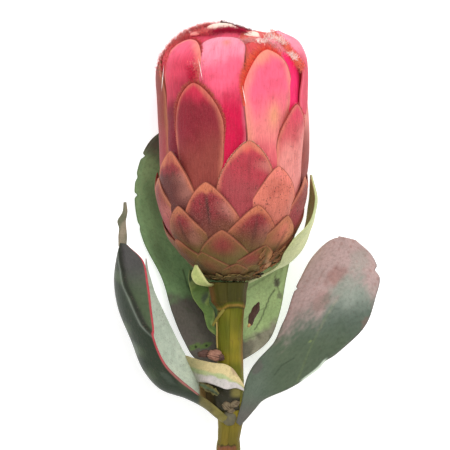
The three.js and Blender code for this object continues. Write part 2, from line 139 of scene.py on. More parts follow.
# A closed slab between two grids of points
def addSlab(store, outer, inner, values, tones, innerTones=None):
    rows, columns = outer.shape[:2]
    top = np.arange(rows * columns).reshape(rows, columns)
    under = top + rows * columns

    def quads(a, b, c, d):
        return np.stack([a, b, c, d], -1).reshape(-1, 4)

    def wall(first, second):
        return quads(first[:-1], first[1:], second[1:], second[:-1])

    faces = np.concatenate([
        quads(top[:-1, :-1], top[1:, :-1], top[1:, 1:], top[:-1, 1:]),
        quads(under[:-1, :-1], under[:-1, 1:], under[1:, 1:], under[1:, :-1]),
        wall(top[0], under[0]),
        wall(under[-1], top[-1]),
        wall(under[:, 0], top[:, 0]),
        wall(top[:, -1], under[:, -1]),
    ])
    points = np.concatenate([outer.reshape(-1, 3), inner.reshape(-1, 3)])
    a, b, c, d = (points[faces[:, i]] for i in range(4))
    if np.einsum("ij,ij->", a, np.cross(b, c) + np.cross(c, d)) < 0:  # inside out
        faces = faces[:, ::-1]
    innerTones = tones if innerTones is None else innerTones
    shades = [np.broadcast_to(face, outer.shape) for face in (tones, innerTones)]
    grids = {name: np.broadcast_to(value, (rows, columns)) for name, value in values.items()}
    both = {name: np.tile(grid.ravel(), 2) for name, grid in grids.items()}
    addPart(store, points, faces, both, np.stack(shades))


# Faces of a tube, from one ring of points to the next
def tubeFaces(rings, sides):
    grid = np.arange(rings * sides).reshape(rings, sides)
    after = np.roll(grid, -1, axis=1)
    return np.stack([grid[:-1], after[:-1], after[1:], grid[1:]], -1).reshape(-1, 4).tolist()


def makePiece(name, store, material, slot, *nodes):
    mesh = bpy.data.meshes.new(name)
    points = inWorld(np.concatenate(store["points"]))
    mesh.from_pydata(points.tolist(), [], store["faces"])
    for title, chunks in store["values"].items():
        layer = mesh.attributes.new(title, "FLOAT", "POINT")
        layer.data.foreach_set("value", np.concatenate(chunks))
    tones = np.concatenate(store["tones"])
    layer = mesh.attributes.new("tone", "FLOAT_COLOR", "POINT")
    rgba = np.concatenate([tones, np.ones((len(tones), 1))], 1).astype(np.float32)
    layer.data.foreach_set("color", rgba.ravel())
    mesh.polygons.foreach_set("use_smooth", np.ones(len(mesh.polygons), bool))
    mesh.materials.append(material)
    mesh.update()
    piece = bpy.data.objects.new(name, mesh)
    bpy.context.scene.collection.objects.link(piece)
    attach(piece, "root")
    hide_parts(*nodes)
    print(name, "made of", sum(len(face) - 2 for face in store["faces"]), "triangles")


def smoothStep(low, high, value):
    share = np.clip((value - low) / (high - low), 0, 1)
    return share * share * (3 - 2 * share)


def mix(first, second, share):
    share = np.asarray(share)[..., None]
    return np.asarray(first) * (1 - share) + np.asarray(second) * share


# Colour from 0-255 values, to linear
def shade(red, green, blue):
    value = np.array([red, green, blue]) / 255
    return np.where(value <= 0.04045, value / 12.92, ((value + 0.055) / 1.055) ** 2.4)


def palette(rows):
    return {name: shade(*row) for name, row in rows.items()}


# Colours laid over a tone, one after another, each by its own share
def overlay(tone, colors, *layers):
    for name, share in layers:
        tone = mix(tone, colors[name], share)
    return tone


def unit(vectors, least=1e-6):
    return vectors / np.maximum(np.linalg.norm(vectors, axis=-1, keepdims=True), least)


# 1 at a middle, and less to both sides
def bell(value, middle, width):
    return np.exp(-(((value - middle) / width) ** 2))


# -1 to 1, closer together towards both ends
def edgeSpaced(count):
    return np.sin(np.linspace(-1, 1, count) * math.pi / 2)


# A smooth uneven value about 0, from a few crossing waves
def uneven(x, y, seed, scale):
    draw = np.random.default_rng(seed)
    around, waves = 6.28, 5
    turns, phases = draw.uniform(0, around, waves), draw.uniform(0, around, waves)
    total = 0
    for turn, phase, pace in zip(turns, phases, draw.uniform(0.6, 1.7, waves)):
        wave = (x * math.cos(turn) + y * math.sin(turn)) * pace * around / scale
        total = total + np.sin(wave + phase)
    return total / waves


# A smooth curve through points, as one function of 0 to 1
def rail(points):
    knots = np.array(points, float)
    last = len(knots) - 1
    # one more knot past each end, in line with the last two
    knots = np.concatenate([[2 * knots[0] - knots[1]], knots, [2 * knots[-1] - knots[-2]]])

    def at(share):
        place = np.clip(np.asarray(share, float), 0, 1) * last
        start = np.minimum(place.astype(int), last - 1)
        part = (place - start)[..., None]
        p0, p1, p2, p3 = (knots[start + i] for i in range(4))
        steps = (np.linalg.norm(step, axis=-1, keepdims=True) for step in (p1 - p0, p2 - p1, p3 - p2))
        d0, d1, d2 = (np.maximum(step, 1e-4) ** 0.5 for step in steps)
        t1 = ((p1 - p0) / d0 - (p2 - p0) / (d0 + d1) + (p2 - p1) / d1) * d1
        t2 = ((p2 - p1) / d1 - (p3 - p1) / (d1 + d2) + (p3 - p2) / d2) * d1
        c2 = -3 * p1 + 3 * p2 - 2 * t1 - t2
        c3 = 2 * p1 - 2 * p2 + t1 + t2
        return p1 + t1 * part + c2 * part**2 + c3 * part**3

    return at


# A leaf's grid: shares along it, -1 to 1 across it, the points and their normals
def leafGrid(rails, rows, columns):
    near, far = rail(rails["near"]), rail(rails["far"])
    middle = rail(rails["middle"]) if "middle" in rails else None

    def surface(s, t):
        first, last = near(s), far(s)
        centre = middle(s) if middle else (first + last) / 2
        t = t[..., None]
        return centre * (1 - t * t) + first * (t * (t - 1) / 2) + last * (t * (t + 1) / 2)

    s, t = np.meshgrid(np.linspace(0, 1, rows), edgeSpaced(columns), indexing="ij")
    step = 1e-3
    ahead = surface(np.minimum(s + step, 1), t) - surface(np.maximum(s - step, 0), t)
    aside = surface(s, np.minimum(t + step, 1)) - surface(s, np.maximum(t - step, -1))
    return s, t, surface(s, t), unit(np.cross(ahead, aside), 1e-9)


# Material nodes

def startMaterial(name, roughness, settings=None):
    material = bpy.data.materials.new(name)
    material.use_nodes = True
    tree = material.node_tree
    shader = tree.nodes["Principled BSDF"]
    shader.inputs["Roughness"].default_value = roughness
    for title, value in (settings or {}).items():
        shader.inputs[title].default_value = value
    return material, tree, shader


def node(tree, kind, inputs=None, **settings):
    made = tree.nodes.new(kind)
    for title, value in settings.items():
        setattr(made, title, value)
    for key, value in (inputs or {}).items():
        if isinstance(value, bpy.types.NodeSocket):
            tree.links.new(value, made.inputs[key])
        else:
            made.inputs[key].default_value = value
    return made


def attribute(tree, name, output="Fac"):
    return node(tree, "ShaderNodeAttribute", attribute_name=name).outputs[output]


def toneOf(tree):
    return attribute(tree, "tone", "Color")


def objectSpace(tree):
    return node(tree, "ShaderNodeTexCoord").outputs["Object"]


def combine(tree, operation, first, second):
    return node(tree, "ShaderNodeMath", {0: first, 1: second}, operation=operation).outputs[0]


def stretch(tree, value, low, high, least=0.0, most=1.0):
    inputs = {"Value": value, "From Min": low, "From Max": high, "To Min": least, "To Max": most}
    return node(tree, "ShaderNodeMapRange", inputs, clamp=True).outputs["Result"]


def blendColor(tree, share, first, second, how="MIX"):
    made = node(tree, "ShaderNodeMix", data_type="RGBA", blend_type=how)
    for index, value in ((0, share), (6, first), (7, second)):
        if isinstance(value, bpy.types.NodeSocket):
            tree.links.new(value, made.inputs[index])
        else:
            made.inputs[index].default_value = value if index == 0 else (*value, 1)
    return made.outputs[2]


# The tone takes up to this share of a colour, where a pattern goes from low to high
def tint(tree, tone, pattern, low, high, most, color, how="MULTIPLY"):
    return blendColor(tree, stretch(tree, pattern, low, high, 0, most), tone, color, how)


def grain(tree, vector, scale, detail=3.0, roughness=0.55):
    inputs = {"Vector": vector, "Scale": scale, "Detail": detail, "Roughness": roughness}
    return node(tree, "ShaderNodeTexNoise", inputs).outputs["Fac"]


# A vector from three values of the mesh, so that a pattern follows the piece
def patternSpace(tree, first, second, third):
    return node(tree, "ShaderNodeCombineXYZ", {0: first, 1: second, 2: third}).outputs[0]


# The tone as base colour, and a weak glow for the light that comes through something thin
def dress(tree, shader, tone, glow=0.0):
    tree.links.new(tone, shader.inputs["Base Color"])
    if glow:
        tree.links.new(tone, shader.inputs["Emission Color"])
        shader.inputs["Emission Strength"].default_value = glow


def relief(tree, shader, height, distance, strength=1.0):
    inputs = {"Height": height, "Distance": distance, "Strength": strength}
    made = node(tree, "ShaderNodeBump", inputs)
    tree.links.new(made.outputs["Normal"], shader.inputs["Normal"])


# Floor

def makeFloor():
    half = studio["floorSize"] / 2
    corners = [(-half, -half, 0), (half, -half, 0), (half, half, 0), (-half, half, 0)]
    mesh = bpy.data.meshes.new("floor")
    mesh.from_pydata(corners, [], [(0, 1, 2, 3)])
    material, tree, shader = startMaterial("floorPaper", 0.9)
    shader.inputs["Base Color"].default_value = (*studio["floorColor"], 1)
    shader.inputs["Emission Color"].default_value = (1, 1, 1, 1)
    shader.inputs["Emission Strength"].default_value = studio["floorGlow"]
    mesh.materials.append(material)
    floor = bpy.data.objects.new("floor", mesh)
    bpy.context.scene.collection.objects.link(floor)


makeFloor()


# Bloom head: the barrel that the bracts lie on, in mm

barrelShape = {
    "radius": 31.1,
    "foot": 67.2,
    "top": 169.6,
    "footRise": 40.0,
    "crownFall": 25.0,
    "crownPower": 2.5,
    "steps": 161,
}


def measureBarrel():
    b = barrelShape
    angle = np.linspace(0, math.pi / 2, b["steps"])
    crown = 2 / b["crownPower"]
    radius = np.concatenate([np.sin(angle), np.cos(angle)[1:] ** crown]) * b["radius"]
    footHeight = b["foot"] + b["footRise"] * (1 - np.cos(angle))
    crownHeight = b["top"] - b["crownFall"] * (1 - np.sin(angle[1:]) ** crown)
    height = np.concatenate([footHeight, crownHeight])
    length = np.concatenate([[0], np.cumsum(np.hypot(np.diff(radius), np.diff(height)))])
    outUp, outAway = -np.gradient(radius, length), np.gradient(height, length)
    return {"radius": radius, "height": height, "length": length, "outUp": outUp, "outAway": outAway}


barrel = measureBarrel()


def barrelValue(name, length):
    return np.interp(length, barrel["length"], barrel[name])


def barrelLength(height):
    return float(np.interp(height, barrel["height"], barrel["length"]))


def onBarrel(angle, length, offset):
    radius = barrelValue("radius", length) + barrelValue("outAway", length) * offset
    height = barrelValue("height", length) + barrelValue("outUp", length) * offset
    return np.stack([radius * np.sin(angle), height, radius * np.cos(angle)], -1)


# Bracts: each follows the last by the same turn, and later ones stand higher

bractRule = {
    "turn": 138.05,
    "start": -9.7,
    "orders": (-16, 45),
    "crownOrders": (46, 64),  # small ones that close the crown
    "crownLength": 24.0,
    "length": 66.0,
    "lowestRoot": 7.0,
    "recess": 4.2,  # how deep a bract ends up under those outside it
    "reach": 38.0,
    "layer": 0.04,  # how much deeper each later one lies, in the crown
    "layerFrom": 25,
    "dip": 0.9,  # how far its edges curve in
    "bulge": 0.45,
    "lean": 1.0,  # how far its tip leans in
    "leanReach": 8.0,
    "edge": 0.55,
    "root": 2.0,
    "skew": 0.9,  # how far a tip may lean aside
    "grid": (46, 28),
    "crownGrid": (24, 16),
}
# order, height of the tip, half width, tip to widest place, roundness of the tip
bractGrowth = [
    (-22, 68.6, 4.2, 4, 1.6),
    (-16, 71.5, 8, 8, 1.4),
    (-13, 74, 9, 9, 1.4),
    (-5, 81.9, 12, 14, 1.35),
    (0, 87.8, 13.5, 17, 1.35),
    (5, 97.6, 14.5, 20, 1.35),
    (13, 107.2, 14.5, 20, 1.35),
    (21, 123.5, 14, 21, 1.45),
    (24, 138.4, 11.2, 17, 1.6),
    (26, 147, 12.3, 18, 1.6),
    (30, 161, 12.9, 17, 1.5),
    (31, 162, 12, 13, 1.7),
    (34, 165, 10.2, 8.5, 2.2),
    (45, 168.9, 8, 8, 2.2),
    (64, 169.58, 5.4, 6, 2.0),
]
# The bracts of the front stand a little off the rule: order, degrees about the axis, tip's height
frontBracts = {
    -13: (7, 74.1),
    -5: (36, 81.9),
    0: (-9.7, 87.8),
    3: (52, 93.7),
    5: (-46.5, 97.4),
    8: (19.5, 97.8),
    10: (-76, 109),
    11: (76, 109.6),
    13: (-18.2, 106.8),
    16: (38.4, 113.1),
    18: (-54.5, 119.2),
    19: (97, 113),
    21: (12.8, 122.9),
    23: (-86.5, 158.5),
    24: (58.1, 137.8),
    26: (-27.9, 145.6),
    29: (31.9, 159.4),
    31: (-47.6, 164.2),
    34: (-9, 164.7),
    37: (58.4, 166),
}
# mm that a bract lies deeper, where it would come through the ones outside it
sunkBracts = {39: 1.9}
# share of its width that a bract loses towards its foot
narrowedBracts = {29: 0.18, 26: 0.07, 34: -0.16}

hues = palette({
    "palePink": (250, 152, 174), "pink": (248, 100, 130), "rose": (215, 66, 92),
    "crimson": (204, 16, 68), "scarlet": (226, 64, 50), "ember": (244, 124, 92),
    "maroon": (122, 20, 40), "plum": (150, 44, 66), "wine": (124, 42, 54), "dusk": (106, 50, 46),
    "salmon": (238, 130, 120), "coral": (222, 92, 84), "rosewood": (158, 64, 70),
    "rust": (108, 76, 44), "olive": (98, 88, 44), "brown": (98, 74, 46), "umber": (58, 38, 26),
    "soot": (34, 26, 18), "cream": (240, 214, 176), "blush": (252, 214, 204),
    "shell": (252, 228, 212), "rimPeach": (240, 156, 130), "snow": (250, 244, 240),
    "straw": (196, 160, 104), "peach": (226, 128, 106), "peachPink": (228, 142, 134),
    "rouge": (196, 44, 72), "berry": (134, 34, 48), "clay": (138, 62, 54), "frostSheen": (204, 138, 122),
    "copper": (192, 112, 80), "cherry": (178, 56, 70), "brick": (160, 64, 58),
    "oxblood": (136, 44, 52), "tanPink": (200, 114, 96), "clayRose": (206, 88, 94),
    "blossom": (232, 128, 126), "honey": (234, 166, 118), "rimTan": (208, 124, 98),
    "apricot": (218, 122, 102), "fuchsia": (250, 42, 110), "tan": (168, 108, 72),
    "highlightTan": (204, 142, 100), "duskDeep": (84, 42, 38), "footFuzz": (142, 134, 84),
    "budPlum": (96, 70, 62), "flameTip": (255, 170, 140), "garnet": (150, 34, 46),
    "budPink": (160, 116, 98), "budGrey": (124, 110, 86), "budDark": (76, 54, 46),
})
# What the bracts of the front wear: tip, middle, lower part, rim, and how far down the middle and the
# lower part begin and end
bractTones = {
    34: ("palePink", "pink", "crimson", "palePink", (5, 18, 20, 38)),
    29: ("salmon", "pink", "blossom", "rimPeach", (0, 8, 16, 32)),
    26: ("rouge", "berry", "clay", "rimTan", (2, 10, 14, 34)),
    31: ("pink", "rose", "maroon", "rimPeach", (4, 16, 18, 32)),
    24: ("rose", "clayRose", "peachPink", "rimTan", (3, 10, 8, 20)),
    37: ("palePink", "fuchsia", "fuchsia", "pink", (7, 13, 20, 40)),
    19: ("copper", "coral", "clay", "copper", (1, 7, 9, 22)),
    23: ("clay", "clay", "rosewood", "tan", (3, 20, 24, 46)),
    21: ("coral", "cherry", "rosewood", "rimTan", (1, 5, 9, 20)),
    18: ("copper", "oxblood", "duskDeep", "copper", (1, 6, 7, 12)),
    16: ("salmon", "apricot", "tanPink", "peach", (3, 8, 9, 18)),
    13: ("copper", "oxblood", "dusk", "copper", (1, 4, 8, 16)),
    11: ("copper", "clay", "rosewood", "copper", (1, 6, 9, 20)),
    10: ("copper", "clay", "rosewood", "tan", (1, 6, 9, 20)),
    8: ("copper", "oxblood", "dusk", "copper", (1, 5, 7, 15)),
    5: ("copper", "oxblood", "dusk", "tan", (1, 5, 6, 13)),
    3: ("copper", "apricot", "rust", "tan", (1, 6, 9, 20)),
    0: ("brick", "oxblood", "dusk", "tan", (1, 5, 7, 14)),
    -5: ("brick", "clay", "dusk", "tan", (1, 4, 5, 12)),
}
# How dark the middle line of a bract is, where it isn't the usual 0.2
streakShares = {13: 1, 8: 0.6, 5: 0.6, 3: 0.5, 21: 0.3, 16: 0.1}
# The bracts of the foot keep a red heart: side, mm down and share
roseHearts = {
    16: (-0.2, 8, 0.25),
    0: (0, 7, 0.8),
    -3: (0, 8, 0.4),
    -5: (-0.35, 7, 0.8),
    -8: (0.1, 7, 0.35),
    -13: (0, 5, 0.25),
}
heartSize = (0.38, 4.5)  # share of the half width, mm
# Single stains: side, how wide, mm down, how long, hue, share
bractStains = {34: (0.18, 0.16, 4.6, 2.2, "peach", 0.75), 29: (0.1, 0.2, 27, 5, "honey", 0.7)}
rimReaches = {29: 4.6, 31: 4.4}  # how far the rim's hue goes in, where it isn't the usual 2.8 mm
litSideBracts = (-5, 3, -10)  # their right side faces the light and is painted paler: a painted highlight
roseFooted = 29  # this one turns rose again far down
upperTones = [
    ("pink", "rose", "wine", "salmon", (3, 20, 24, 44)),
    ("salmon", "rose", "crimson", "salmon", (3, 20, 24, 44)),
    ("coral", "rose", "plum", "copper", (3, 20, 24, 44)),
]
lowerTones = [
    ("copper", "cherry", "rosewood", "copper", (1, 6, 9, 20)),
    ("copper", "brick", "dusk", "copper", (1, 6, 9, 20)),
    ("clay", "rosewood", "wine", "tan", (1, 7, 9, 22)),
]


def growthAt(order):
    table = np.array(bractGrowth, float)
    return [float(np.interp(order, table[:, 0], table[:, i])) for i in range(1, 5)]


def bractTone(order, tip, down, side, margin, height):
    draw = np.random.default_rng(500 + order)
    upper = tip > 130
    usual = (upperTones if upper else lowerTones)[draw.integers(3)]
    *names, (start, middleEnd, lowStart, lowEnd) = bractTones.get(order, usual)
    tipHue, middleHue, lowHue, rimHue = names
    uneasy = uneven(side * 9, down, 40 + order, 15) * 1.6
    streak = uneven(side * 40, down * 0.6, 700 + order, 14)
    leaning = down + uneasy * 2 + streak * 2
    tone = overlay(
        hues[tipHue], hues,
        (middleHue, smoothStep(start, middleEnd, leaning + 3 * side * upper)),
        (lowHue, smoothStep(lowStart, lowEnd, leaning + 5 * side * upper)),
        ("rose", 0.7 * smoothStep(34, 46, leaning) * (order == roseFooted)),
    )
    if order in bractStains:
        across, wide, low, long, hue, share = bractStains[order]
        tone = mix(tone, hues[hue], share * bell(side, across, wide) * bell(down, low, long))
    if upper:
        reach = rimReaches.get(order, 2.8)
        return mix(tone, hues[rimHue], 0.65 * (1 - smoothStep(0.2, reach, margin + uneasy * 0.6)))
    # Pale fine hairs on the right side of each lower bract: part real hair colour, part painted sheen
    # where they catch the light
    frostSheen = smoothStep(0.1, 0.8, side + 0.3 * uneasy)
    frostSheen = frostSheen * smoothStep(5, 10, down) * smoothStep(24, 15, down)
    reach = 2.6 + 2.4 * smoothStep(104, 84, height) + 1.6 * smoothStep(7, 1, down)
    tone = overlay(
        tone, hues,
        ("frostSheen", 0.5 * frostSheen),
        (rimHue, 0.85 * (1 - smoothStep(0, reach, margin + uneasy * 0.6))),
    )
    ground = mix(hues["rust"], hues["olive"], smoothStep(88, 78, height))
    tone = mix(tone, ground, 0.9 * smoothStep(93, 76, height + uneasy * 3 - 5 * np.abs(side)))
    tone = mix(tone, hues["brown"], 0.5 * smoothStep(77, 69, height + uneasy * 2))
    if order in roseHearts:
        across, low, share = roseHearts[order]
        wide, long = heartSize
        tone = mix(tone, hues["oxblood"], share * bell(side, across, wide) * bell(down, low, long))
    # Painted highlight: the right side of these bracts, which faces the light, is painted paler
    if order in litSideBracts:
        lit = smoothStep(0, 0.5, side + 0.3 * uneasy) * smoothStep(2, 5, down)
        tone = mix(tone, hues["highlightTan"], 0.7 * lit)
    return tone


# The half width of a bract at a length down from its tip, and its offset there from the barrel
def bractShape(order):
    r = bractRule
    ruleTip, halfWidth, widestAt, roundness = growthAt(order)
    degrees, tip = frontBracts.get(order, (r["start"] + r["turn"] * order, ruleTip))
    tipLength = barrelLength(tip)
    length = min(r["length"], tipLength - r["lowestRoot"])
    skewed = np.random.default_rng(100 + order).uniform(-1, 1) * r["skew"]

    def half(down):
        narrowed = 1 - narrowedBracts.get(order, 0) * smoothStep(14, 40, down)
        rounded = (1 - np.maximum(1 - down / widestAt, 0) ** roundness) ** (1 / roundness)
        return halfWidth * narrowed * rounded

    def place(down, across, depth=0.0):
        layer = r["layer"] * max(order - r["layerFrom"], 0) + sunkBracts.get(order, 0)
        recess = r["recess"] * (1 - np.exp(-down / r["reach"])) + layer
        lean = r["lean"] * np.maximum(1 - down / r["leanReach"], 0) ** 2
        wide = np.abs(across) / halfWidth
        dip = r["dip"] * wide**2.5
        bulge = r["bulge"] * np.cos(np.clip(wide, 0, 1) * math.pi / 2) * smoothStep(1, 8, down)
        buckle = 0.16 * uneven(across, down, 90 + order, 16)
        offset = -recess - lean - dip + bulge + buckle
        aside = across + skewed * np.maximum(1 - down / widestAt, 0) ** 2
        angle = math.radians(degrees) + aside / np.maximum(barrelValue("radius", tipLength - down), 4)
        return onBarrel(angle, tipLength - down, offset - depth)

    return {"tip": tip, "length": length, "halfWidth": halfWidth, "half": half, "place": place}


# Points on a bract's margin, with the way out from the bloom and the way past the margin
def bractEdge(order, down, sides):
    shape = bractShape(order)
    down = np.maximum(down, 0.02)
    across = shape["half"](down) * sides
    points = shape["place"](down, across)
    ahead = shape["place"](down + 0.3, shape["half"](down + 0.3) * sides) - points
    within = shape["place"](down + 0.6, across * 0.85) - points
    outward = unit(np.cross(ahead, within))
    outward *= np.sign(np.einsum("ij,ij->i", outward, points * [1, 0, 1]))[:, None]
    around = np.cross(outward, unit(ahead))
    around *= -np.sign(np.einsum("ij,ij->i", around, within))[:, None]
    return points, outward, around


def addBract(store, order):
    r = bractRule
    shape = bractShape(order)
    small = order > r["orders"][1]
    rows, columns = r["crownGrid"] if small else r["grid"]
    length = r["crownLength"] if small else shape["length"]
    share = np.linspace(0, 1, rows)[:, None]
    down = (0.004 + 0.996 * share**1.6) * length
    half = shape["half"](down)
    steep = np.gradient(half[:, 0], down[:, 0])[:, None]
    down, across = np.broadcast_arrays(down, edgeSpaced(columns)[None, :] * half)
    margin = (half - np.abs(across)) / np.hypot(1, steep)
    thick = r["edge"] + (r["root"] - r["edge"]) * smoothStep(0, 14, down)
    thick = thick * (0.4 + 0.6 * smoothStep(0, 1.8, margin))
    outer = shape["place"](down, across)
    inner = shape["place"](down, across, thick)
    height = outer[..., 1]
    tones = bractTone(order, shape["tip"], down, across / shape["halfWidth"], margin, height)
    values = {
        "down": down,
        "across": across,
        "margin": margin,
        "seed": order * 0.37,
        "lower": smoothStep(150, 118, shape["tip"]),
        "foot": smoothStep(94, 78, height),
        "streak": streakShares.get(order, 0.2) * smoothStep(4, 8, down) * smoothStep(21, 12, down),
    }
    addSlab(store, outer, inner, values, tones)


def bractMaterial():
    settings = {"Sheen Weight": 0.02, "Sheen Roughness": 0.4, "Specular IOR Level": 0.1}
    material, tree, shader = startMaterial("bractSkin", 0.55, settings)
    names = ("down", "across", "seed", "margin", "lower")
    down, across, seed, margin, lower = (attribute(tree, name) for name in names)

    def times(first, second):
        return combine(tree, "MULTIPLY", first, second)

    space = patternSpace(tree, across, down, seed)
    streaks = grain(tree, patternSpace(tree, across, times(down, 0.14), seed), 2.1, 4)
    blotches = grain(tree, space, 0.16, 3)
    specks = grain(tree, space, 1.15, 3)
    pile = grain(tree, space, 4.5, 2)
    tone = toneOf(tree)
    tone = tint(tree, tone, streaks, 0.5, 0.72, 0.5, (1.28, 1.22, 1.2))
    tone = tint(tree, tone, streaks, 0.5, 0.28, 0.45, (0.62, 0.5, 0.52))
    tone = tint(tree, tone, blotches, 0.52, 0.72, 0.55, (0.72, 0.55, 0.55))
    spots = times(stretch(tree, specks, 0.59, 0.65), stretch(tree, blotches, 0.38, 0.54))
    spots = times(spots, stretch(tree, lower, 0, 1, 0.12, 0.75))
    tone = blendColor(tree, spots, tone, (0.06, 0.025, 0.02))
    wander = stretch(tree, specks, 0.3, 0.7, -0.5, 0.9)
    wander = combine(tree, "ADD", combine(tree, "ABSOLUTE", across, 0), wander)
    dark = times(stretch(tree, wander, 1.5, 0.3), times(attribute(tree, "streak"), lower))
    tone = blendColor(tree, dark, tone, (0.05, 0.02, 0.016))
    tone = tint(tree, tone, margin, 1.2, 0.6, 0.16, hues["peach"], "MIX")
    fuzz = times(stretch(tree, pile, 0.5, 0.75, 0, 0.4), stretch(tree, lower, 0, 1, 0.35, 1))
    fuzzHue = blendColor(tree, attribute(tree, "foot"), hues["peachPink"], hues["footFuzz"])
    tone = blendColor(tree, fuzz, tone, fuzzHue)
    pits = times(stretch(tree, pile, 0.46, 0.26, 0, 0.5), stretch(tree, lower, 0, 1, 0.3, 1))
    tone = blendColor(tree, pits, tone, (0.5, 0.36, 0.34), "MULTIPLY")
    # A thin dark line on the very margin: partly the bract's own dark edge and hairs, partly painted
    # contact shadow where it lies on the next bract
    tone = tint(tree, tone, margin, 0.44, 0.2, 0.65, (0.12, 0.03, 0.022), "MIX")
    dress(tree, shader, tone)
    relief(tree, shader, streaks, 0.00025)
    return material


looseRule = {
    "grid": (60, 30),
    "thickness": 0.6,
    # what the skin's pattern goes by
    "length": 34,
    "halfWidth": 7,
    "marginRise": 6,
    "marginLeast": 0.35,
}
# Bracts that stand off the barrel: rails as for leaves, tones of the tip, the foot and the rim
looseBracts = {
    "right": {
        "near": [
            [26.6, 134, 12], [27, 142, 12.4], [27.8, 151, 13.2], [24.8, 157.4, 14.4],
            [20.6, 161.8, 14.6], [15.6, 165.2, 12],
        ],
        "middle": [
            [29.8, 134, 2], [30, 142, 2.4], [30, 152.6, 5], [28.6, 158.2, 7], [25, 163.2, 8.4],
            [17.6, 166.6, 8.8],
        ],
        "far": [
            [29.4, 134, -5], [29.6, 142, -4], [29.7, 153, -2], [29.2, 157.2, 0], [26.6, 162.8, 2],
            [19, 167, 5.4],
        ],
        "tones": ("palePink", "rose", "pink"),
    },
    "left": {
        "near": [
            [-24.6, 146, 12], [-24.2, 153.4, 12], [-21, 158, 13], [-16.4, 161.8, 14], [-8, 164, 14],
        ],
        "middle": [
            [-29, 146, 3], [-28.2, 154, 4], [-25, 159.6, 5.4], [-20, 164, 6], [-11, 167.6, 7.4],
        ],
        "far": [
            [-30, 146, -3], [-28.6, 154, -2], [-25.2, 160.2, -1], [-20, 164.6, 0], [-11.4, 168.4, 3],
        ],
        "tones": ("garnet", "plum", "garnet"),
    },
    # the last one's rails turn about the axis: degrees, radius, height
    "edge": {
        "near": [[68, 26, 98], [66, 27.8, 112], [67, 28.2, 124], [71, 28.6, 134], [84, 29.2, 143]],
        "middle": [
            [92, 27, 98], [91, 30.2, 112], [90, 30.8, 124], [90, 30.5, 134], [89, 29.6, 144],
        ],
        "far": [[108, 26, 98], [108, 29.4, 112], [106, 30, 124], [102, 30, 134], [93, 29.4, 143]],
        "tones": ("peachPink", "clay", "copper"),
    },
}


# Points from degrees about the axis, radius and height
def aroundAxis(points):
    turned = np.array(points, float)
    angle = np.radians(turned[:, 0])
    return np.stack([turned[:, 1] * np.sin(angle), turned[:, 2], turned[:, 1] * np.cos(angle)], -1)


def addLooseBract(store, name):
    rule, shape = looseRule, looseBracts[name]
    place = aroundAxis if name == "edge" else np.array
    rails = {key: place(shape[key]) for key in ("near", "middle", "far")}
    s, t, middle, normal = leafGrid(rails, *rule["grid"])
    tip, foot, rim = (hues[hue] for hue in shape["tones"])
    margin = (1 - np.abs(t)) * rule["marginRise"] + rule["marginLeast"]
    tones = mix(foot, tip, smoothStep(0.35, 0.8, s + 0.05 * uneven(s * 30, t * 9, 35, 8)))
    tones = mix(tones, rim, 0.6 * smoothStep(2.4, 0.6, margin))
    values = {
        "down": (1 - s) * rule["length"],
        "across": t * rule["halfWidth"],
        "margin": margin,
        "seed": 3.3,
        "lower": 0,
        "foot": 0,
        "streak": 0,
    }
    half = normal * rule["thickness"] / 2
    addSlab(store, middle + half, middle - half, values, tones)


def makeBracts():
    skin = bractMaterial()
    first, last = bractRule["orders"]
    groups = {
        "bracts_lower": (first, 6),
        "bracts_middle": (6, 25),
        "bracts_upper": (25, last + 1),
        "bracts_crown": bractRule["crownOrders"],
    }
    for title, orders in groups.items():
        store = newStore()
        for order in range(*orders):
            addBract(store, order)
        if title == "bracts_upper":
            for name in looseBracts:
                addLooseBract(store, name)
        makePiece(title, store, skin, "bracts", "bloom")


makeBracts()


# Hairs: slim three-sided spikes that stand on a bract's margin

fringeRule = {
    "spread": 0.35,  # how unevenly they lean
    "droop": 0.35,
    "width": 0.07,
    "sections": 3,
    "glow": 0.3,  # light that comes through them
    "brightest": 0.95,
}
# order: hairs, least and most length, hue, tip hue, side of the tip that bears them (-1 left, 1 right,
# 0 both), reach down
fringes = {
    # 26's fringe is real hair, made dark garnet so that it also stands for the band of shade outside
    # that bract's rim: painted shade
    26: (1100, 0.8, 1.9, "garnet", "copper", 0, 24),
    29: (1100, 1.4, 4.2, "scarlet", "ember", -1, 24),
    31: (600, 0.6, 1.6, "garnet", "coral", 0, 14),
    37: (420, 1.0, 2.8, "scarlet", "flameTip", -1, 16),
    24: (300, 0.4, 1.0, "garnet", "coral", 0, 14),
    21: (200, 0.2, 0.5, "rust", "cream", 0, 16),
}


# Spikes from roots, ends and a sideways bow, all in the flower's frame
def addHairs(store, roots, ends, bow, width, tones, tipTones):
    sections, corners = fringeRule["sections"], 3
    along = unit(ends - roots)
    first = unit(np.cross(along, [0.3, 0.2, 0.93]))
    second = np.cross(along, first)
    rings, shades = [], []
    for i in range(sections):
        share = i / sections
        centre = roots + (ends - roots) * share + bow * (4 * share * (1 - share))
        wide = width * (1 - 0.8 * share)
        for corner in range(corners):
            turn = 2 * math.pi * corner / corners
            rings.append(centre + (first * math.cos(turn) + second * math.sin(turn)) * wide)
            shades.append(mix(tones, tipTones, np.full(len(roots), share)))
    rings.append(ends)
    shades.append(tipTones)
    top = len(rings) - 1
    kinds = [(2, 1, 0)] + tubeFaces(sections, corners)
    kinds += [(top - 3 + corner, top - 3 + (corner + 1) % corners, top) for corner in range(corners)]
    base = np.arange(len(roots))[:, None] * len(rings)
    faces = [face for kind in kinds for face in (base + np.array(kind)).tolist()]
    addPart(store, np.stack(rings, 1), faces, {}, np.stack(shades, 1))


def variedHue(draw, hue, count, least, most):
    return hues[hue] * draw.uniform(least, most, count)[:, None]


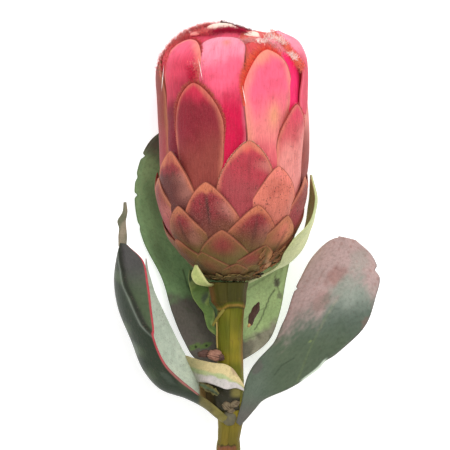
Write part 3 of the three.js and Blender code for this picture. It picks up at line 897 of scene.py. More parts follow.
def addFringe(store, order):
    count, least, most, hue, tipHue, side, reach = fringes[order]
    rule = fringeRule
    draw = np.random.default_rng(300 + order)
    down = reach * draw.uniform(0, 1, count) ** 1.3
    sides = np.where(draw.uniform(size=count) < 0.5, -1.0, 1.0)
    if side:
        sides = np.where((sides != side) & (down > 3.5), side, sides)
    points, outward, around = bractEdge(order, down, sides)
    length = draw.uniform(least, most, count) * (1 - 0.8 * smoothStep(reach * 0.35, reach, down))
    spread = draw.normal(size=(count, 3)) * rule["spread"]
    lean = unit(around + outward * rule["droop"] * draw.uniform(-0.2, 1.2, count)[:, None] + spread)
    bow = draw.normal(size=(count, 3)) * 0.06 * length[:, None]
    dark = draw.uniform(-0.9, 0.7, count).clip(0)
    tones = mix(hues[hue], hues["garnet"], dark) * draw.uniform(0.6, 1.3, count)[:, None]
    tips = np.minimum(variedHue(draw, tipHue, count, 0.5, 1.2), rule["brightest"])
    ends = points + lean * length[:, None]
    addHairs(store, points - around * 0.4, ends, bow, rule["width"], tones, tips)


def hairMaterial():
    material, tree, shader = startMaterial("bractHair", 0.55, {"Specular IOR Level": 0.25})
    dress(tree, shader, toneOf(tree), fringeRule["glow"])
    return material


def makeFringes():
    store = newStore()
    for order in fringes:
        addFringe(store, order)
    makePiece("bract_fringes", store, hairMaterial(), "bracts", "bloom")


makeFringes()


# A closed lump about a middle, from three half axes, uneven by its own waves
def addLump(store, middle, axes, tone, seed, rough=0.0, ridges=0, rows=28, columns=40):
    axes = np.asarray(axes, float)
    up = np.linspace(0, math.pi, rows)[:, None]
    turn = np.linspace(0, 2 * math.pi, columns, endpoint=False)[None, :]
    x, y, z = np.sin(up) * np.cos(turn), np.sin(up) * np.sin(turn), np.cos(up) + 0 * turn
    coarse = uneven(x * 6 + z * 4, y * 6 - z * 3, seed, 6)
    swell = 1 + rough * (coarse + 0.5 * uneven(x * 9, y * 9 + z * 9, seed + 1, 5))
    if ridges:
        swell = swell + rough * 0.8 * np.cos(turn * ridges + z * 2) * np.sin(up)
    local = np.stack([x, y, z], -1) * swell[..., None]
    grid = np.arange((rows - 2) * columns).reshape(rows - 2, columns) + 1
    after = np.roll(grid, -1, axis=1)
    faces = np.stack([grid[:-1], grid[1:], after[1:], after[:-1]], -1).reshape(-1, 4).tolist()
    grid, after = grid.tolist(), after.tolist()
    last = grid[-1][-1] + 1
    for j in range(columns):
        faces.append([0, grid[0][j], after[0][j]])
        faces.append([last, after[-1][j], grid[-1][j]])
    if np.linalg.det(axes) < 0:
        faces = [face[::-1] for face in faces]
    # one point for each end, where the grid has a whole row
    points, shades = (
        np.concatenate([field[:1, 0], field[1:-1].reshape(-1, 3), field[-1:, 0]])
        for field in (np.asarray(middle) + local @ axes, tone(local))
    )
    addPart(store, points, faces, {}, shades)


# Half axes of a lump, turned in the picture's plane
def turnedAxes(long, wide, degrees, third):
    turn = math.radians(degrees)
    across, up = math.cos(turn), math.sin(turn)
    return [(long * across, long * up, 0), (-wide * up, wide * across, 0), third]


# Crown: pale curled tips, tufts of hair and one dark standing edge

crownRule = {
    # middle, half length, half height, half depth, degrees turned, hue
    "tips": [
        ((-3.2, 167.1, 13.6), 6.6, 2.3, 1.3, -3, "shell"),
        ((7.8, 164.0, 18.6), 3.2, 1.8, 1.1, 4, "shell"),
        ((-13.6, 165.3, 14.6), 2.8, 0.9, 0.9, 8, "peachPink"),
        ((9.4, 161.2, 20.6), 3.4, 0.6, 0.8, 6, "blush"),
    ],
    # path of roots (degrees about the axis, height, offset from the barrel), hairs, least and most
    # length, way that they point, spread, hue, tip hue
    "tufts": [
        ([(-84, 155, -1.6), (-82, 159, -1.4), (-80, 163, -0.8), (-74, 166, -0.2), (-62, 168, 0.2),
          (-45, 169, 0.4)],
         520, 0.8, 2.6, (-0.5, 0.8, 0.3), 0.35, "garnet", "salmon"),
        ([(-72, 160, -1.4), (-64, 164.4, -1.2), (-50, 166, -1), (-36, 166.6, -0.8)],
         520, 0.8, 2.2, (-0.2, 0.7, 0.6), 0.5, "garnet", "coral"),
        ([(-44, 167, -0.8), (-28, 165.8, -0.8)],
         300, 1.0, 2.6, (0.3, 0.7, 0.6), 0.5, "rouge", "salmon"),
        ([(-28, 166.4, -0.8), (-10, 167.2, -0.6), (6, 167, -0.6), (18, 166.2, -0.8)],
         1100, 0.8, 2.0, (0.1, 0.5, 0.8), 0.55, "maroon", "crimson"),
        ([(36, 163.4, -0.2), (44, 162.6, 0.4), (50, 160.6, 0.4)],
         120, 1.4, 4.0, (0.1, 0.7, 0.6), 0.5, "blush", "snow"),
        ([(-28, 154, 0), (-26, 151, 0)],
         50, 0.5, 1.5, (0.2, 0.3, 0.7), 0.6, "scarlet", "blush"),
        ([(-30.5, 152, -0.4), (-28.5, 146, -0.4)],
         420, 0.5, 1.4, (-0.3, 0.2, 0.9), 0.5, "rouge", "crimson"),
        ([(24, 161.6, -0.2), (30, 161.4, -0.2)],
         80, 0.8, 1.8, (0, 0.8, 0.5), 0.4, "blush", "snow"),
        ([(10, 162.6, -2), (24, 163.4, -1.8), (38, 162.4, -1.8), (52, 158.6, -1.8)],
         700, 1.0, 2.6, (-0.2, 0.4, 0.8), 0.6, "rouge", "blush"),
    ],
    # the same, with roots at places in the flower's frame, and how far they scatter
    "edgeTufts": [
        ([(-28.8, 151, 4), (-27.8, 155.8, 4.8), (-25, 160, 5.6), (-20, 164.4, 6.2), (-12, 167.8, 7.4),
          (-5, 169.2, 7)],
         0.5, 1000, 0.8, 2.8, (-0.5, 0.7, 0.4), 0.6, "garnet", "salmon"),
        ([(-26.5, 149, 9), (-25.5, 155, 10), (-22, 159.4, 11), (-16, 163.6, 11.5), (-9, 166.2, 11.5)],
         1.2, 1100, 0.7, 2.2, (-0.3, 0.6, 0.6), 0.7, "rouge", "salmon"),
        ([(16.4, 166, 11), (20.8, 161.8, 15), (24.8, 157.2, 15), (28.4, 152.2, 13)],
         0.7, 1000, 1.2, 3.4, (-0.5, -0.5, 0.5), 0.45, "scarlet", "flameTip"),
        ([(22.6, 157.4, 17), (25.4, 155, 17)],
         0.4, 110, 1.0, 2.6, (0.1, 0.3, 0.8), 0.6, "blush", "snow"),
        ([(-4.4, 170.8, 4.6), (2, 169.2, 5.6), (10.4, 166.4, 4.8)],
         0.3, 300, 0.4, 1.2, (-0.3, 0.9, 0.1), 0.4, "umber", "maroon"),
    ],
    # pale edges that catch the light: degrees, height and offset of each end
    "paleLines": [
        ((-58.6, 153, 0.9), (-60, 142.6, 0.7)),
        ((-25.2, 154.6, 0.7), (-21, 146, 0.4)),
        ((7.6, 144, -0.6), (10.4, 136.6, -0.8)),
    ],
    "lineWidth": 0.16,
    "hairWidth": 0.091,
    # top and foot of the dark standing edge
    "edgeTop": [
        (-4.4, 171, 4.4), (-1.6, 170.6, 5), (2, 169.4, 5.4), (6, 168.2, 5.2), (10.4, 166.6, 4.6),
    ],
    "edgeFoot": [(-3, 162, 6), (-0.6, 162, 7), (2, 162, 7.6), (5.4, 162, 7), (9, 162, 6)],
}


def alongPath(points, share):
    points = np.array(points, float)
    length = np.concatenate([[0], np.cumsum(np.linalg.norm(np.diff(points, axis=0), axis=1))])
    at = share * length[-1]
    return np.stack([np.interp(at, length, points[:, i]) for i in range(3)], -1)


# Places drawn along a path, each a little off it
def scatterAlong(draw, path, count, scatter):
    return alongPath(path, draw.uniform(0, 1, count)) + draw.normal(size=(count, 3)) * scatter


def addTuft(store, draw, roots, count, least, most, way, spread, hue, tipHue):
    lean = unit(np.array(way) + draw.normal(size=(count, 3)) * spread)
    length = draw.uniform(least, most, count)[:, None]
    bow = draw.normal(size=(count, 3)) * 0.1 * length
    tones = variedHue(draw, hue, count, 0.4, 1.4)
    tips = np.minimum(variedHue(draw, tipHue, count, 0.6, 1.1), fringeRule["brightest"])
    addHairs(store, roots, roots + lean * length, bow, crownRule["hairWidth"], tones, tips)


def makeCrownTips():
    store = newStore()
    for index, (middle, long, high, deep, degrees, hue) in enumerate(crownRule["tips"]):

        def tone(local, hue=hue):
            below, behind = smoothStep(0.3, -0.8, local[..., 1]), smoothStep(0.1, -0.7, local[..., 2])
            return mix(hues[hue], hues["rose"], 0.8 * np.maximum(below, behind))

        axes = turnedAxes(long, high, degrees, (0, -0.4 * deep, deep))
        addLump(store, middle, axes, tone, 400 + index, 0.1)
    share = np.linspace(0, 1, 40)
    top, foot = alongPath(crownRule["edgeTop"], share), alongPath(crownRule["edgeFoot"], share)
    down = np.linspace(0, 1, 14)[:, None, None]
    outer = top * (1 - down) + foot * down
    outer[..., 1] += 0.12 * uneven(outer[..., 0] * 3, outer[..., 1] * 2, 31, 4)
    tones = mix(hues["dusk"] * 0.5, hues["maroon"], smoothStep(0.02, 0.2, down[..., 0]))
    addSlab(store, outer, outer - [0, 0, 0.7], {}, tones)
    skin, tree, shader = startMaterial("crownSkin", 0.45, {"Specular IOR Level": 0.25})
    fleck = grain(tree, objectSpace(tree), 900, 3)
    dress(tree, shader, tint(tree, toneOf(tree), fleck, 0.5, 0.7, 0.35, (0.75, 0.5, 0.45)))
    relief(tree, shader, fleck, 0.0002)
    makePiece("crown_tips", store, skin, "bracts", "bloom")


def makeCrownTufts():
    store = newStore()
    for index, (path, *rule) in enumerate(crownRule["tufts"]):
        draw = np.random.default_rng(600 + index)
        place = scatterAlong(draw, path, rule[0], [3, 0.5, 0.2])
        length = np.interp(np.minimum(place[:, 1], 169.5), barrel["height"], barrel["length"])
        addTuft(store, draw, onBarrel(np.radians(place[:, 0]), length, place[:, 2]), *rule)
    for index, (path, scatter, *rule) in enumerate(crownRule["edgeTufts"]):
        draw = np.random.default_rng(640 + index)
        addTuft(store, draw, scatterAlong(draw, path, rule[0], scatter), *rule)
    pale = hues["snow"][None] * 0.9
    for line in crownRule["paleLines"]:
        ends = [
            onBarrel(math.radians(angle), barrelLength(high), offset)[None]
            for angle, high, offset in line
        ]
        middle = (ends[0] + ends[1]) / 2
        for end in ends:
            addHairs(store, middle, end, 0 * middle, crownRule["lineWidth"], pale, pale)
    makePiece("crown_tufts", store, hairMaterial(), "bracts", "bloom")


makeCrownTips()
makeCrownTufts()


# Receptacle: the woody core under the bracts, with a cup that holds the florets

coreShape = {
    "inset": 4.6,
    "foot": 68,
    "start": 6,
    "rim": 156,
    "cupRadius": 14.6,
    "cupFloor": 120,
    "steps": 60,
    "sides": 96,
}
floretRule = {
    "count": 210,
    "spacing": 0.96,
    "turn": 137.5,
    "foot": 138,
    "top": 168.2,
    "fall": 0.026,  # how the tips sink towards the rim
    "gather": 0.92,  # how far the tips draw in
    "width": 0.62,
    "hairs": 6,  # on each tip
    "hairWidth": 0.09,
}


def makeCore():
    p = coreShape
    length = np.linspace(p["start"], barrelLength(p["rim"]), p["steps"])
    radius = barrelValue("radius", length) - barrelValue("outAway", length) * p["inset"]
    height = barrelValue("height", length) - barrelValue("outUp", length) * p["inset"]
    axis = 0.01
    cup = [(p["cupRadius"], p["rim"] - 1), (p["cupRadius"], p["cupFloor"]), (axis, p["cupFloor"])]
    outline = np.concatenate([[(axis, p["foot"])], np.stack([radius, height], -1), cup])
    turn = np.linspace(0, 2 * math.pi, p["sides"], endpoint=False)
    away, up = outline[:, :1], outline[:, 1:]
    points = np.stack([away * np.sin(turn), up + 0 * turn, away * np.cos(turn)], -1)
    count, sides = points.shape[:2]
    faces = tubeFaces(count, sides)
    faces += [range(sides - 1, -1, -1), range((count - 1) * sides, count * sides)]
    ragged = uneven(points[..., 0], points[..., 1], 21, 12)
    tone = mix(hues["wine"], hues["umber"], 0.5 + 0.5 * ragged)
    store = newStore()
    addPart(store, points, faces, {}, tone)
    material, tree, shader = startMaterial("receptacleFelt", 0.8)
    fleck = grain(tree, objectSpace(tree), 600, 4)
    dress(tree, shader, tint(tree, toneOf(tree), fleck, 0.4, 0.7, 0.6, (0.5, 0.4, 0.35)))
    relief(tree, shader, fleck, 0.0004)
    makePiece("receptacle", store, material, "bracts", "bloom")


def makeFlorets():
    p = floretRule
    count = p["count"]
    index = np.arange(count)
    draw = np.random.default_rng(88)
    out = p["spacing"] * np.sqrt(index)
    turn = np.radians(p["turn"] * index)
    height = p["top"] - p["fall"] * out**2 - draw.uniform(0, 1.6, count)
    ends = np.stack([out * p["gather"] * np.sin(turn), height, out * p["gather"] * np.cos(turn)], -1)
    roots = np.stack([out * np.sin(turn), 0 * out + p["foot"], out * np.cos(turn)], -1)
    bow = draw.normal(size=(count, 3)) * 0.3
    store = newStore()
    pale = variedHue(draw, "blush", count, 0.7, 1.05)
    addHairs(store, roots, ends, bow, p["width"], pale, variedHue(draw, "peachPink", count, 0.6, 1.1))
    hairs = count * p["hairs"]
    pick = draw.integers(0, count, hairs)
    start = ends[pick] - [0, 3, 0] + draw.normal(size=(hairs, 3)) * 0.4
    lean = np.array([0, 1, 0]) + draw.normal(size=(hairs, 3)) * 0.35
    tips = variedHue(draw, "snow", hairs, 0.7, 1)
    tops = start + lean * draw.uniform(1.5, 3.6, hairs)[:, None]
    addHairs(store, start, tops, bow[pick] * 0.3, p["hairWidth"], hues["rose"], tips)
    makePiece("floret_bundle", store, hairMaterial(), "florets", "florets")


makeCore()
makeFlorets()


# Dry scales where the head meets the stem

scaleRule = {
    "count": 92,
    "turn": 137.5,
    "radius": (6.0, 12.6),
    "length": (2.2, 5.6),
    "width": (0.9, 2.4),
    "thickness": 0.35,
    "grid": (12, 9),
    "seed": 55,
    "flakes": 18,  # the last ones are thin, and run up the right of the foot
    "flakeTurn": (28, 80),
    "flakeRadius": (12, 23),
    "flakeWidth": 0.4,
}


def makeScales():
    p = scaleRule
    draw = np.random.default_rng(p["seed"])
    store = newStore()
    along = np.linspace(0, 1, p["grid"][0])[:, None]
    aside = np.linspace(-1, 1, p["grid"][1])[None, :]
    foot = slice(0, barrelShape["steps"] - 1)  # the barrel's lower part
    for index in range(p["count"]):
        least, most = p["radius"]
        turn = math.radians(p["turn"] * index + draw.uniform(-30, 30))
        reach = least + (most - least) * (index / p["count"]) ** 0.8 + draw.uniform(-0.8, 0.8)
        long, wide = draw.uniform(*p["length"]), draw.uniform(*p["width"])
        flake = index >= p["count"] - p["flakes"]
        if flake:
            turn, reach = math.radians(draw.uniform(*p["flakeTurn"])), draw.uniform(*p["flakeRadius"])
            wide = wide * p["flakeWidth"]
        start = float(np.interp(reach, barrel["radius"][foot], barrel["length"][foot])) - 1.5
        length = start + along * long
        half = wide * (1 - along**2.2) ** 0.7 * (1 + 0.12 * np.sin(along * 17 + index))
        lift = 0.25 + draw.uniform(0.1, 0.9) * along**2 - 0.5 * aside**2 * (1 - along)
        lift = lift + 0.15 * np.sin(along * 13 + aside * 3 + index)
        angle = turn + aside * half / np.maximum(barrelValue("radius", length), 3)
        length = length + 0 * aside
        outer, inner = (onBarrel(angle, length, lift - depth) for depth in (0, p["thickness"]))
        edge = 0.5 * smoothStep(0.8, 1, np.maximum(along, np.abs(aside)))
        green = np.clip(0.5 + uneven(along * 9 + 0 * aside, aside * 3 + 0 * along, index, 4), 0, 1)
        dry = overlay(
            hues["brown"], hues,
            ("olive", green),
            ("soot", draw.uniform(0, 1) ** 2.2),
            ("straw", edge * draw.uniform(0, 1) ** 3),
            ("tan", 0.45 * flake),
        )
        addSlab(store, outer, inner, {}, dry)
    makePiece("base_scales", store, dryMaterial("dryScale"), "bracts", "bloom")


def dryMaterial(name):
    material, tree, shader = startMaterial(name, 0.75, {"Specular IOR Level": 0.2})
    place = objectSpace(tree)
    fleck, blot = grain(tree, place, 1100, 4), grain(tree, place, 300, 3)
    tone = tint(tree, toneOf(tree), fleck, 0.45, 0.7, 0.6, (0.5, 0.42, 0.38))
    dress(tree, shader, tint(tree, tone, blot, 0.5, 0.7, 0.4, (1.5, 1.4, 1.3)))
    relief(tree, shader, fleck, 0.0004)
    return material


makeScales()


# Buds: wrinkled lumps, each a few overlapping scales

budShapes = {
    # middle, half axes along, across and deep, degrees turned, hue, dark hue
    "bud_dry": [
        ((-6.4, 38.2, 5.2), (3.2, 2.3, 2.1), -12, "budPink", "umber"),
        ((-4.2, 37.4, 5.9), (1.5, 1.3, 1.4), -38, "budPlum", "soot"),
        ((-10.8, 38.7, 3.6), (2.8, 1.5, 1.3), 8, "budPlum", "umber"),
    ],
    "bud_low": [
        ((-1.9, 18.2, 6.4), (1.9, 1.8, 1.7), -40, "budGrey", "umber"),
        ((1.2, 18.9, 6.5), (2.1, 1.4, 1.6), 20, "budGrey", "umber"),
        ((-0.2, 16.4, 6.2), (1.5, 1.2, 1.2), 0, "budGrey", "umber"),
    ],
    "bud_dark": [
        ((9.2, 55.2, 1.3), (4.2, 1.4, 1.6), 66, "budDark", "umber"),
        ((8.0, 52.8, 1.6), (3.0, 1.3, 1.4), 78, "budDark", "umber"),
        ((7.4, 50.6, 1.7), (1.7, 0.7, 0.8), 62, "straw", "budDark"),
    ],
}


def makeBuds():
    bark = dryMaterial("budBark")
    for name, lumps in budShapes.items():
        store = newStore()
        for index, (middle, (long, wide, deep), degrees, hue, dark) in enumerate(lumps):

            def tone(local, hue=hue, dark=dark):
                fold = uneven(local[..., 1] * 9, local[..., 0] * 2, 45, 5)
                return mix(hues[hue], hues[dark], 0.8 * smoothStep(0.05, 0.5, fold))

            axes = turnedAxes(long, wide, degrees, (0, 0, deep))
            addLump(store, middle, axes, tone, 700 + 10 * index + len(name), 0.09, 5, 32, 44)
        slot = "bud_dark" if name == "bud_dark" else "bud_dry"
        makePiece(name + "_scales", store, bark, slot, name)


makeBuds()


# Leaves: three rails each, from the stem to the tip, as points across, up and out

leafShapes = {
    "thickness": 0.8,
    "veinHeight": 0.05,
    "left": {
        "near": [
            [-1.6, 13.8, 5.8], [-4.4, 16.4, 7], [-8.6, 20, 8.6], [-14.4, 24.4, 11.3],
            [-20.3, 29.4, 14], [-26.1, 35.8, 17], [-30, 44.6, 19], [-31.9, 56, 20], [-33.1, 66.5, 19],
            [-35.2, 76.2, 15], [-41.5, 82.3, 8],
        ],
        "middle": [
            [-3.4, 11.6, 4.4], [-6.6, 14, 4.2], [-11, 17.6, 3.8], [-18.1, 21.7, 4], [-28.1, 25.6, 5],
            [-34.8, 33.5, 5], [-39.6, 45.1, 5], [-44.8, 56.9, 4], [-46.4, 68.1, 4], [-45.4, 77.3, 4],
            [-44, 82.8, 5],
        ],
        "far": [
            [-4.4, 14, 3.2], [-6.8, 18, 1], [-9.4, 23.6, -3], [-13.9, 30, -6], [-18, 36.7, -9],
            [-24.9, 49.4, -14], [-30.1, 60.5, -15], [-32.6, 66.4, -14], [-34.2, 70.6, -12],
            [-37.6, 76, -7], [-42.6, 81.8, 3],
        ],
    },
    "leftTip": {
        "near": [
            [-45, 81.5, 5], [-45, 85.6, 5.4], [-44.8, 88.8, 4.6], [-45.4, 91.6, 5.2],
            [-43.4, 95.2, 5], [-43, 99.1, 5],
        ],
        "far": [
            [-41.8, 81.5, 5], [-41.6, 85.6, 4.6], [-41.8, 88.8, 5.4], [-42, 91.6, 4.8],
            [-41.4, 95.2, 5.4], [-41.8, 99.1, 5],
        ],
    },
    "leftSpike": {
        "near": [[-34.5, 60.7, -17], [-34.6, 69.4, -15], [-34.8, 73.2, -12], [-34.7, 76.6, -11]],
        "far": [[-30.7, 60.7, -19], [-33.2, 69.4, -16], [-34, 73.2, -12.5], [-34.5, 76.7, -11]],
    },
    # a sheet in the hollow behind the band, dark with painted shade
    "leftCavity": {
        "near": [[-11, 28, 2.4], [-7, 27.8, 5.2], [-2, 26.4, 6.2], [3.6, 25.2, 5.6]],
        "far": [[-9.4, 18.6, 3.2], [-6, 16.8, 5.4], [-2.2, 15.8, 6.2], [3, 16.4, 5.4]],
    },
    "leftFlap": {
        "near": [[-12.8, 27.8, 8.6], [-9.6, 27.2, 9.6], [-6.6, 25.6, 10.4], [-4.8, 23.4, 10.2]],
        "far": [[-12.6, 26.2, 8.4], [-10.2, 24.4, 8.8], [-7.6, 22.8, 9.4], [-5.6, 22.4, 9.8]],
    },
    "leftBand": {
        "near": [
            [-18.4, 37.3, -9], [-12.6, 36.2, 2.5], [-6.8, 35.3, 7.6], [-2.6, 34.9, 9], [0.4, 33.2, 9],
            [3, 29.6, 8.2], [4.8, 26.6, 7],
        ],
        "far": [
            [-13.4, 26.8, -4], [-12.2, 27.4, 4], [-9, 27.2, 7.6], [-5, 26, 9.2], [-2, 25, 9.6],
            [1.6, 25.4, 8.8], [4.8, 24.2, 7],
        ],
    },
    "right": {
        "near": [
            [1.9, 11.6, 5], [2.9, 15.8, 5.8], [4.3, 20.8, 5.6], [5.4, 26.4, 5.4], [6.9, 31.4, 6],
            [10.5, 36.7, 8], [16.8, 42.7, 9], [20, 51.5, 8], [23.2, 58.6, 6], [27.2, 67.7, 5],
            [31.6, 76.9, 5], [37.6, 82.8, 5], [42.7, 85.4, 5],
        ],
        "middle": [
            [2.8, 10.8, 5.1], [4.6, 14, 5.8], [7, 18.4, 6.2], [10, 23.2, 6.4], [14.5, 28.5, 7],
            [21.2, 35.7, 9], [27.4, 43.4, 11], [33.7, 51.8, 13], [38.4, 59.6, 13], [42, 67.5, 12],
            [44, 74.6, 11], [45.3, 80.1, 9], [45.5, 84.8, 6],
        ],
        "far": [
            [3.4, 10.2, 4.6], [5.4, 12.2, 5.2], [8.6, 16.4, 5.4], [12.1, 19.6, 5], [20.9, 23.9, 4],
            [28.9, 29.1, 4], [38, 35.1, 5], [46.6, 43.2, 8], [53.4, 51.7, 12], [56.9, 61.6, 13],
            [58.6, 68.7, 11], [55.6, 77.7, 9], [49.4, 84, 7],
        ],
    },
    "back": {
        "near": [
            [-3.8, 33.2, -5.4], [-14.3, 35.8, -9], [-19.4, 43.3, -13], [-24.2, 54.5, -18],
            [-28.5, 68.2, -23], [-36.4, 83.8, -26], [-39.7, 98.2, -27], [-38.9, 111.8, -27],
            [-33.1, 125.1, -28], [-17.1, 135.1, -31],
        ],
        "middle": [
            [-2.2, 33.2, -5.6], [-2.6, 39.4, -11], [-3, 46.4, -17], [-3.4, 57.2, -24],
            [-4.3, 69.4, -29], [-5.5, 84.6, -32], [-6.7, 99.1, -34], [-8, 113.6, -34],
            [-9.6, 126.5, -34], [-11.3, 136.9, -33],
        ],
        "far": [
            [-0.6, 33.6, -5.6], [6.7, 36.7, -9], [15.3, 43.3, -13], [19.8, 54.5, -18],
            [22.5, 68.2, -23], [25.8, 83.8, -26], [27.5, 98.2, -28], [25.8, 111.8, -28],
            [18, 125.1, -29], [-3.8, 134.7, -32],
        ],
    },
    "strap": {
        "near": [
            [-5.2, 44.8, -2], [-9.4, 48.4, -4.2], [-10.6, 52, -6], [-11.4, 54.8, -7.4],
            [-13.2, 57.2, -8.6], [-15.4, 60.2, -9.4], [-16.8, 64.4, -11], [-17.6, 68.4, -14],
            [-17.2, 71.5, -17],
        ],
        "far": [
            [-4.6, 45.6, -2.4], [-6.3, 48.6, -4], [-6.6, 52, -5], [-7, 55.6, -6.4],
            [-9.2, 58.6, -7.8], [-8.6, 62.4, -9], [-8.4, 65.6, -11], [-9, 68.6, -14],
            [-9.5, 71.5, -18],
        ],
    },
    "folded": {
        "near": [
            [-6.8, 65.8, 3], [-10.6, 66, 6.4], [-14.4, 67.2, 9.4], [-15.9, 70.2, 11.4],
            [-14.4, 74.2, 14],
        ],
        "far": [
            [-6, 66.6, 3.8], [-8.8, 66.8, 9], [-10.4, 69, 12.4], [-12, 71.6, 13.8], [-13.6, 74, 14.6],
        ],
    },
}
# The cupping leaf follows the bloom: degrees about the axis, radius, height
cuppingRails = {
    "near": [
        [96, 5.2, 66.6], [94, 10.5, 69.2], [86, 15.6, 71.6], [76, 19.6, 74.6], [62, 23.6, 79],
        [64, 27, 84], [76, 30.6, 89.5], [90, 32.8, 95.5], [94, 33.6, 100.5], [97, 33, 106],
        [101, 32.4, 110],
    ],
    "middle": [
        [102, 5.2, 66.2], [100, 11, 69], [97, 16.6, 71.6], [93, 22.4, 74.8], [91, 26.8, 79],
        [95, 29.9, 84], [100, 32.8, 89.8], [107, 35.2, 95.5], [107, 35.8, 100.3], [105, 34.4, 105.8],
        [102, 32.8, 110.2],
    ],
    "far": [
        [108, 5.2, 66], [106, 11, 68.6], [106, 17, 71.4], [107, 22.8, 74.8], [108, 27.2, 79.2],
        [112, 30.6, 84.2], [117, 33.8, 90], [121, 36, 95.5], [119, 36.2, 100.3], [113, 34.6, 105.6],
        [104, 33, 110],
    ],
}
leafShapes["cupping"] = {name: aroundAxis(points) for name, points in cuppingRails.items()}


leafHues = palette({
    "green": (124, 156, 108), "brightGreen": (188, 212, 150), "deepGreen": (76, 90, 64),
    "leafGreen": (100, 126, 66), "blueGreen": (92, 104, 92), "darkGreen": (44, 54, 40),
    "slate": (74, 72, 70), "purpleGrey": (96, 84, 84), "mauve": (176, 148, 144),
    "mauveBrown": (140, 100, 92), "greyMint": (142, 150, 138), "mint": (204, 216, 198),
    "padGrey": (104, 98, 70), "paleGreen": (196, 196, 136), "lime": (152, 170, 96),
    "redMargin": (186, 66, 76), "cream": (208, 190, 140), "stripe": (172, 182, 132),
    "pinkMint": (198, 190, 186), "olive": (136, 126, 62), "tan": (150, 118, 66),
    "husk": (106, 98, 56), "stainPale": (168, 158, 144), "shadow": (40, 38, 20),
    "dark": (30, 32, 22), "tornTip": (104, 104, 82), "tornTipPale": (140, 128, 108),
})


# Where the camera sees a point: mm across and up, on the plane of the axis
def seen(points):
    eye = studio["eye"]
    near = eye[2] / (eye[2] - points[..., 2])
    return eye[0] + (points[..., 0] - eye[0]) * near, eye[1] + (points[..., 1] - eye[1]) * near


# A soft uneven mark about a seen place
def markTone(tone, points, across, up, long, high, degrees, hue, share):
    x, y = seen(points)
    turn = math.radians(degrees)
    a = ((x - across) * math.cos(turn) + (y - up) * math.sin(turn)) / long
    b = ((y - up) * math.cos(turn) - (x - across) * math.sin(turn)) / high
    away = np.hypot(a, b) + 0.3 * uneven(x, y, 800 + int(across * 3 + up), min(long, high) * 1.5)
    return mix(tone, leafHues[hue], share * smoothStep(1.3, 0.6, away))


# A thin line through seen places
def lineTone(tone, points, places, width, hue, share):
    x, y = seen(points)
    away = np.full(x.shape, 99.0)
    for (x0, y0), (x1, y1) in zip(places[:-1], places[1:]):
        dx, dy = x1 - x0, y1 - y0
        along = np.clip(((x - x0) * dx + (y - y0) * dy) / (dx**2 + dy**2), 0, 1)
        away = np.minimum(away, np.hypot(x - x0 - along * dx, y - y0 - along * dy))
    return mix(tone, leafHues[hue], share * smoothStep(width, width * 0.3, away))


# Marks and lines, one after another: a line begins with the list of its places
def drawOn(tone, points, *marks):
    for mark in marks:
        add = lineTone if isinstance(mark[0], list) else markTone
        tone = add(tone, points, *mark)
    return tone


def leafMaterial(name, roughness, veinShade, glow=0.0):
    material, tree, shader = startMaterial(name, roughness, {"Specular IOR Level": 0.18})
    space = patternSpace(tree, *(attribute(tree, name) for name in ("along", "aside", "seed")))
    mottle = grain(tree, space, 0.14, 6, 0.65)
    fine = grain(tree, space, 0.9, 4, 0.6)
    pores = grain(tree, space, 2.2, 3)
    tone = toneOf(tree)
    tone = tint(tree, tone, mottle, 0.5, 0.7, 0.5, (0.72, 0.78, 0.72))
    tone = tint(tree, tone, mottle, 0.5, 0.3, 0.4, (1.3, 1.24, 1.2))
    tone = tint(tree, tone, fine, 0.5, 0.72, 0.7, (0.74, 0.72, 0.7))
    tone = tint(tree, tone, fine, 0.5, 0.3, 0.5, (1.22, 1.16, 1.16))
    tone = tint(tree, tone, attribute(tree, "vein"), 0.25, 1, 0.6, veinShade, "MIX")
    tone = tint(tree, tone, pores, 0.62, 0.7, 0.5, (0.12, 0.07, 0.06), "MIX")
    dress(tree, shader, tone, glow)
    relief(tree, shader, fine, 0.0003, 0.6)
    return material


# Side veins that leave the middle and bend towards the tip: 1 on a vein, 0 away from it
def veinLines(s, t, count, slope):
    phase = (s - slope * np.abs(t) ** 1.15) * count
    away = np.abs((phase + 0.5) % 1 - 0.5)
    side = np.clip(1 - away / 0.07, 0, 1)
    midrib = np.clip(1 - np.abs(t) / 0.035, 0, 1)
    return np.maximum(side * smoothStep(0.98, 0.7, np.abs(t)) * 0.8, midrib)


def leafPiece(store, rails, grid, tone, seed, wave=0.0, waves=3, veins=0, fold=None, nicks=()):
    rows, columns = grid
    s, t, points, normal = leafGrid(rails, rows, columns)
    inwards = unit(points[:, columns // 2][:, None] - points, 0.1)
    for at, side, depth, width in nicks:
        pull = depth * bell(s, at, width) * smoothStep(0.6, 1, t * side)
        points = points + inwards * pull[..., None]
    lines = veinLines(s, t, veins, 0.16) if veins else 0 * s
    ripple = wave * t * t * np.sin(2 * math.pi * waves * s + t) * np.sin(math.pi * s)
    buckle = 0.25 * uneven(s * 80, t * 20, seed, 22) * np.sin(math.pi * s)
    bent = ripple + buckle + (fold(s, t, points) if fold else 0)
    middle = points + normal * bent[..., None]
    thickness = leafShapes["thickness"]
    lift = lying["axisHeight"] - lying["restsAt"] * math.sin(tilt)
    lowest = (thickness * 0.6 - lift - middle[..., 1] * math.sin(tilt)) / math.cos(tilt)
    middle[..., 2] = np.maximum(middle[..., 2], lowest)
    half = thickness / 2 * (0.35 + 0.65 * smoothStep(0, 0.08, 1 - np.abs(t)))
    raised = leafShapes["veinHeight"] * lines
    outer = middle + normal * (half + raised)[..., None]
    inner = middle - normal * (half - raised)[..., None]
    length = np.linalg.norm(np.diff(points[:, columns // 2], axis=0), axis=-1).sum()
    width = np.linalg.norm(np.diff(points[rows // 2], axis=0), axis=-1).sum()
    values = {"along": s * length, "aside": t * width / 2, "seed": seed * 1.7, "vein": lines}
    addSlab(store, outer, inner, values, *tone(s, t, points))


